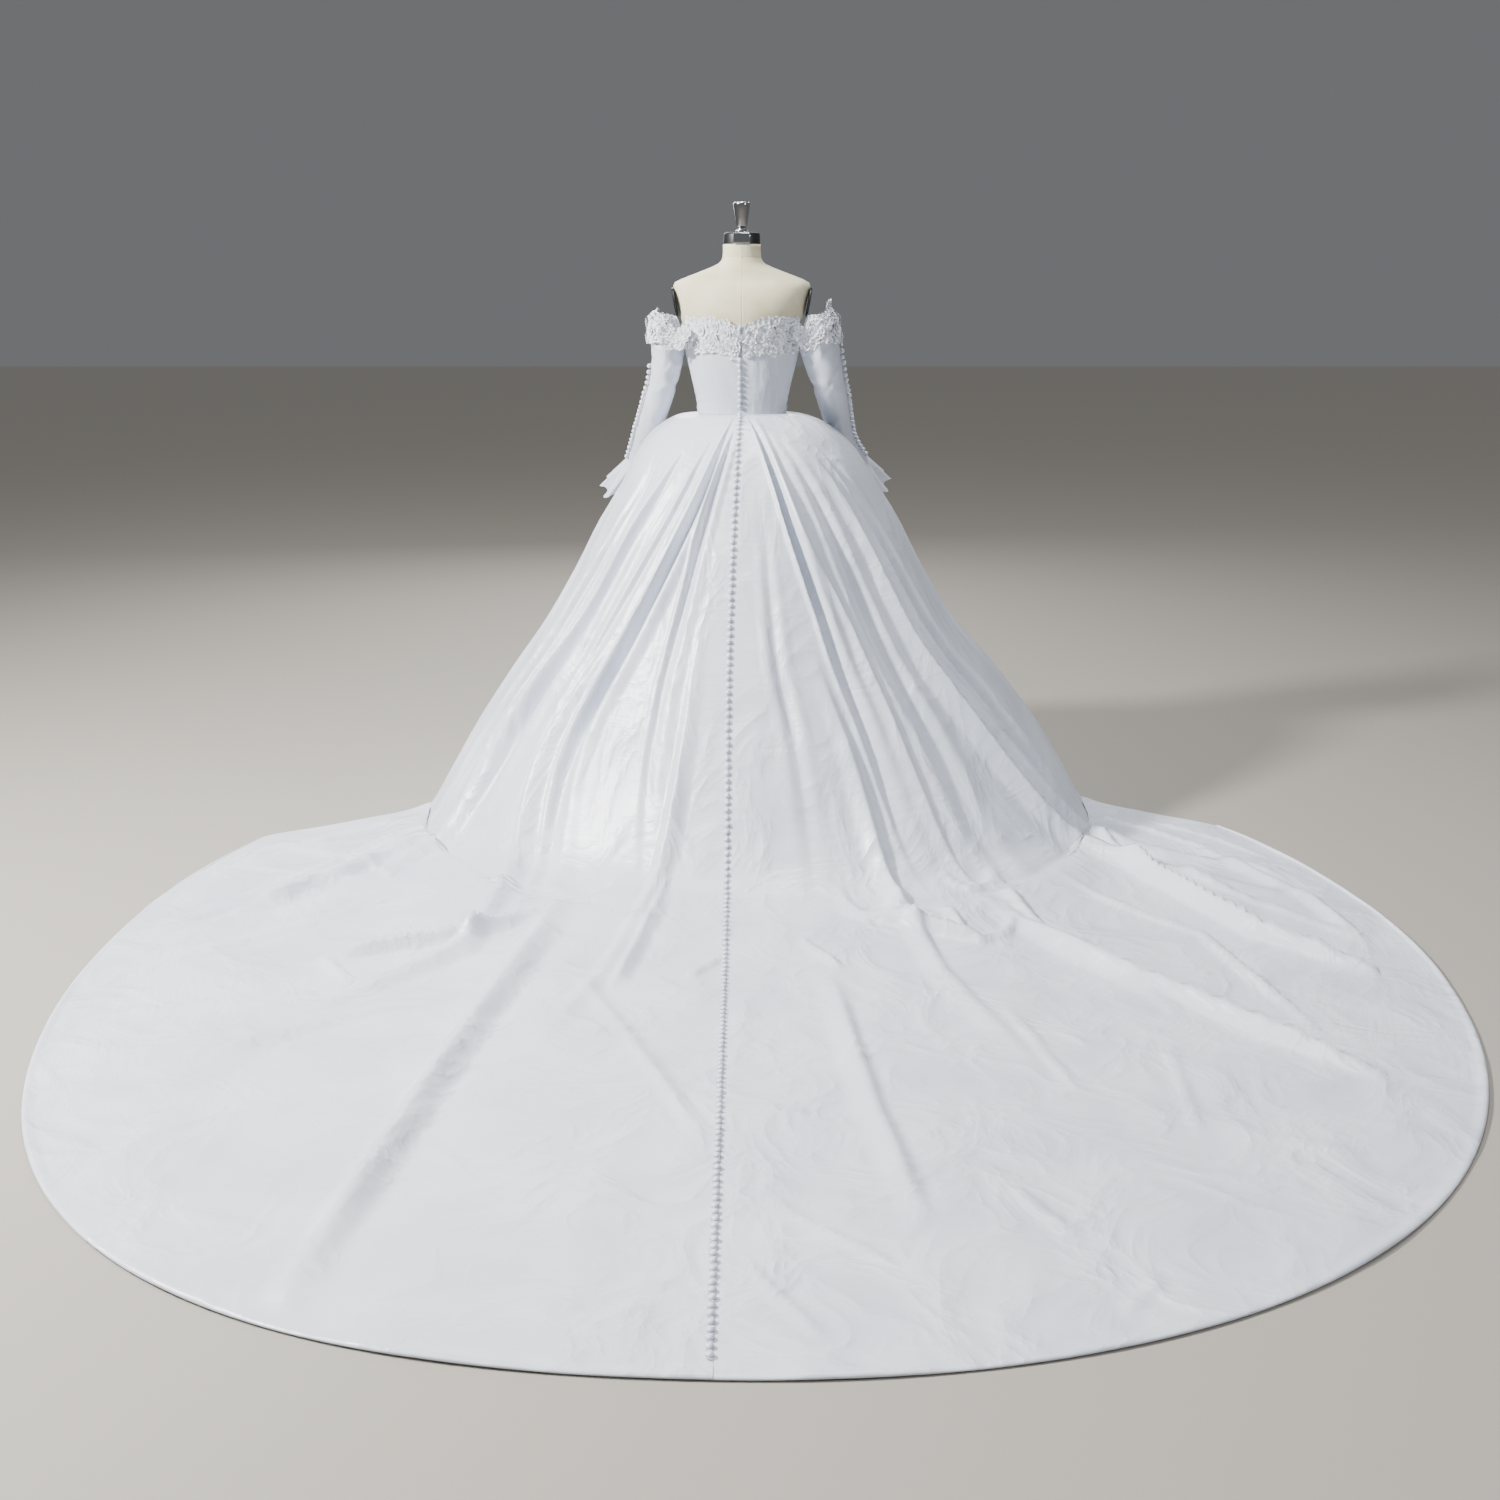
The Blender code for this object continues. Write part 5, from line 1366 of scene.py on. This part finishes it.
# Buttons along a line, each turned to its own place on the cloth.
def buttonRow(name, node, centres, across, normals, row):
    steps = np.linalg.norm(np.diff(centres, axis=0), axis=-1)
    lengths = np.concatenate([[0.0], np.cumsum(steps)])
    dome, domeFaces = buttonParts(row["radius"], row["high"])
    loop, loopFaces = loopParts(row["radius"])
    points, faces, total = [], [], 0
    places = np.arange(0.006 + row["spacing"] / 2, lengths[-1] - 0.006, row["spacing"])
    for index, at in enumerate(places):
        place = np.array([np.interp(at, lengths, centres[:, k]) for k in range(3)])
        x = np.array([np.interp(at, lengths, across[:, k]) for k in range(3)])
        z = np.array([np.interp(at, lengths, normals[:, k]) for k in range(3)])
        x /= np.linalg.norm(x)
        z -= x * z.dot(x)
        z /= np.linalg.norm(z)
        y = np.cross(z, x)
        turn = 0.12 * math.sin(index * 2.3)
        moved = place + x * (row["shift"] + 0.0006 * math.sin(index * 1.7)) + z * row["lift"]
        for part, partFaces, tilt in ((dome, domeFaces, turn), (loop, loopFaces, 0.0)):
            leaning = z + x * tilt * 0.6 + y * tilt * 0.5
            points.append(moved + part[:, :1] * x + part[:, 1:2] * y + part[:, 2:] * leaning)
            faces.extend([[corner + total for corner in face] for face in partFaces])
            total += len(part)
    return meshPiece(name, np.concatenate(points), faces, buttonSatin, [node], sharp=60)


buttonSatin = satinMaterial("white satin, covered buttons", 0.0)


def seamLine(leftEdge, rightEdge):
    centres = (leftEdge + rightEdge) / 2
    along = np.gradient(centres, axis=0)
    across = np.tile([1.0, 0.0, 0.0], (len(centres), 1))
    normals = np.cross(along, across)
    normals /= np.linalg.norm(normals, axis=-1)[:, None]
    outwards = np.sign(normals[:, 1] + normals[:, 2])
    return centres, across, normals * outwards[:, None]


# A running mean, so that buttons don't tip with each small crease.
def smoothed(points, reach=5):
    padded = np.concatenate([points[:1].repeat(reach, 0), points, points[-1:].repeat(reach, 0)])
    kernel = np.ones(2 * reach + 1) / (2 * reach + 1)
    return np.stack([np.convolve(padded[:, k], kernel, "valid") for k in range(3)], axis=-1)


seamCentres, seamAcross, seamNormals = seamLine(trainGrids["left"][:, 0], trainGrids["right"][:, -1])
seamNormals = smoothed(seamNormals)
breakRow = len(hangingRuns)
buttonRow(
    "buttons_skirt_covered", "buttons_skirt", seamCentres[:breakRow], seamAcross[:breakRow],
    seamNormals[:breakRow], buttons["skirt"],
)
lying = slice(breakRow - 1, -6)
buttonRow(
    "buttons_train_covered", "buttons_train", seamCentres[lying], seamAcross[lying], seamNormals[lying],
    buttons["train"],
)
centres, across, normals = seamLine(bodiceLeft[:, 0], bodiceRight[:, -1])
belowLace = centres[:, 2] < 1.239
buttonRow(
    "buttons_bodice_covered", "buttons_bodice", centres[belowLace], across[belowLace],
    np.tile([0.0, 1.0, 0.0], (belowLace.sum(), 1)), buttons["bodice"],
)
for side, firstAt in (("left", 3), ("right", 2)):
    at, turns, _ = sleeveGrids[side]
    at = at[at >= firstAt]
    three = sleeveGrid(side, at, np.radians([-4.0, 3.0, 10.0]))
    centres = three[:, 1]
    across = three[:, 2] - three[:, 0]
    across /= np.linalg.norm(across, axis=-1)[:, None]
    normals = np.cross(np.gradient(centres, axis=0), across)
    normals /= np.linalg.norm(normals, axis=-1)[:, None]
    fromMiddle = centres - sleeveGrids[side][2].mean(axis=1)[-len(at):]
    normals *= np.sign((normals * fromMiddle).sum(axis=1))[:, None]
    buttonRow(
        "buttons_sleeve_" + side + "_covered", "buttons_sleeve_" + side, centres, across, smoothed(normals),
        buttons["sleeve"],
    )
print("buttons done")


# Camera, floor and lights.

studio = {
    "cameraPlace": (-0.021, 4.135, 1.37),
    "cameraPitch": 16.29,  # degrees down
    "lens": 36.96,
    "floorColour": "#99948C",
    "worldColour": "#C9CCD0",
    "worldStrength": 0.27,
    "overheadStrength": 1.0,
    "overheadAngle": 25,
    "overheadTilt": (-22, 18, 0),
}
camera = bpy.data.cameras.new("camera")
camera.sensor_width = 36
camera.lens = studio["lens"]
cameraObject = bpy.data.objects.new("camera", camera)
cameraObject.location = studio["cameraPlace"]
cameraObject.rotation_euler = (math.radians(90 - studio["cameraPitch"]), 0, math.radians(180))
bpy.context.scene.collection.objects.link(cameraObject)
bpy.context.scene.camera = cameraObject

floorMaterial = plainMaterial("pale studio floor", studio["floorColour"], 0.75)
bpy.ops.mesh.primitive_plane_add(size=60, location=(0, 0, -0.0005))
studioFloor = bpy.context.object
studioFloor.name = "studio_floor"
studioFloor.data.materials.append(floorMaterial)

world = bpy.data.worlds.new("studio")
world.use_nodes = True
backdrop = world.node_tree.nodes["Background"]
backdrop.inputs["Color"].default_value = toLinear(studio["worldColour"])
backdrop.inputs["Strength"].default_value = studio["worldStrength"]
bpy.context.scene.world = world

StudioLight = namedtuple("StudioLight", "name place target size power colour")
studioLights = (
    StudioLight("key", (3.3, 1.9, 3.2), (0, 0.8, 0.4), 0.5, 600, "#FFFDFA"),
    StudioLight("side", (-4.2, 3.4, 2.4), (0, 0.7, 0.5), 0.8, 55, "#F4F7FF"),
    StudioLight("top", (-0.2, 0.2, 4.8), (0, 0.9, 0.2), 0.7, 130, "#FFFFFF"),
    StudioLight("front", (0.6, -3.8, 2.6), (0, 0, 0.8), 2.0, 100, "#FFFFFF"),
)
for light in studioLights:
    lamp = bpy.data.lights.new(light.name, "AREA")
    lamp.shape = "DISK"
    lamp.size = light.size
    lamp.energy = light.power
    lamp.color = toLinear(light.colour)[:3]
    lampObject = bpy.data.objects.new(light.name, lamp)
    lampObject.location = light.place
    aim = Vector(light.target) - Vector(light.place)
    lampObject.rotation_euler = aim.to_track_quat("-Z", "Y").to_euler()
    bpy.context.scene.collection.objects.link(lampObject)

overhead = bpy.data.lights.new("overhead", "SUN")
overhead.energy = studio["overheadStrength"]
overhead.angle = math.radians(studio["overheadAngle"])
overheadObject = bpy.data.objects.new("overhead", overhead)
overheadObject.rotation_euler = [math.radians(turn) for turn in studio["overheadTilt"]]
bpy.context.scene.collection.objects.link(overheadObject)

bpy.context.view_layer.update()
print("scene ready")
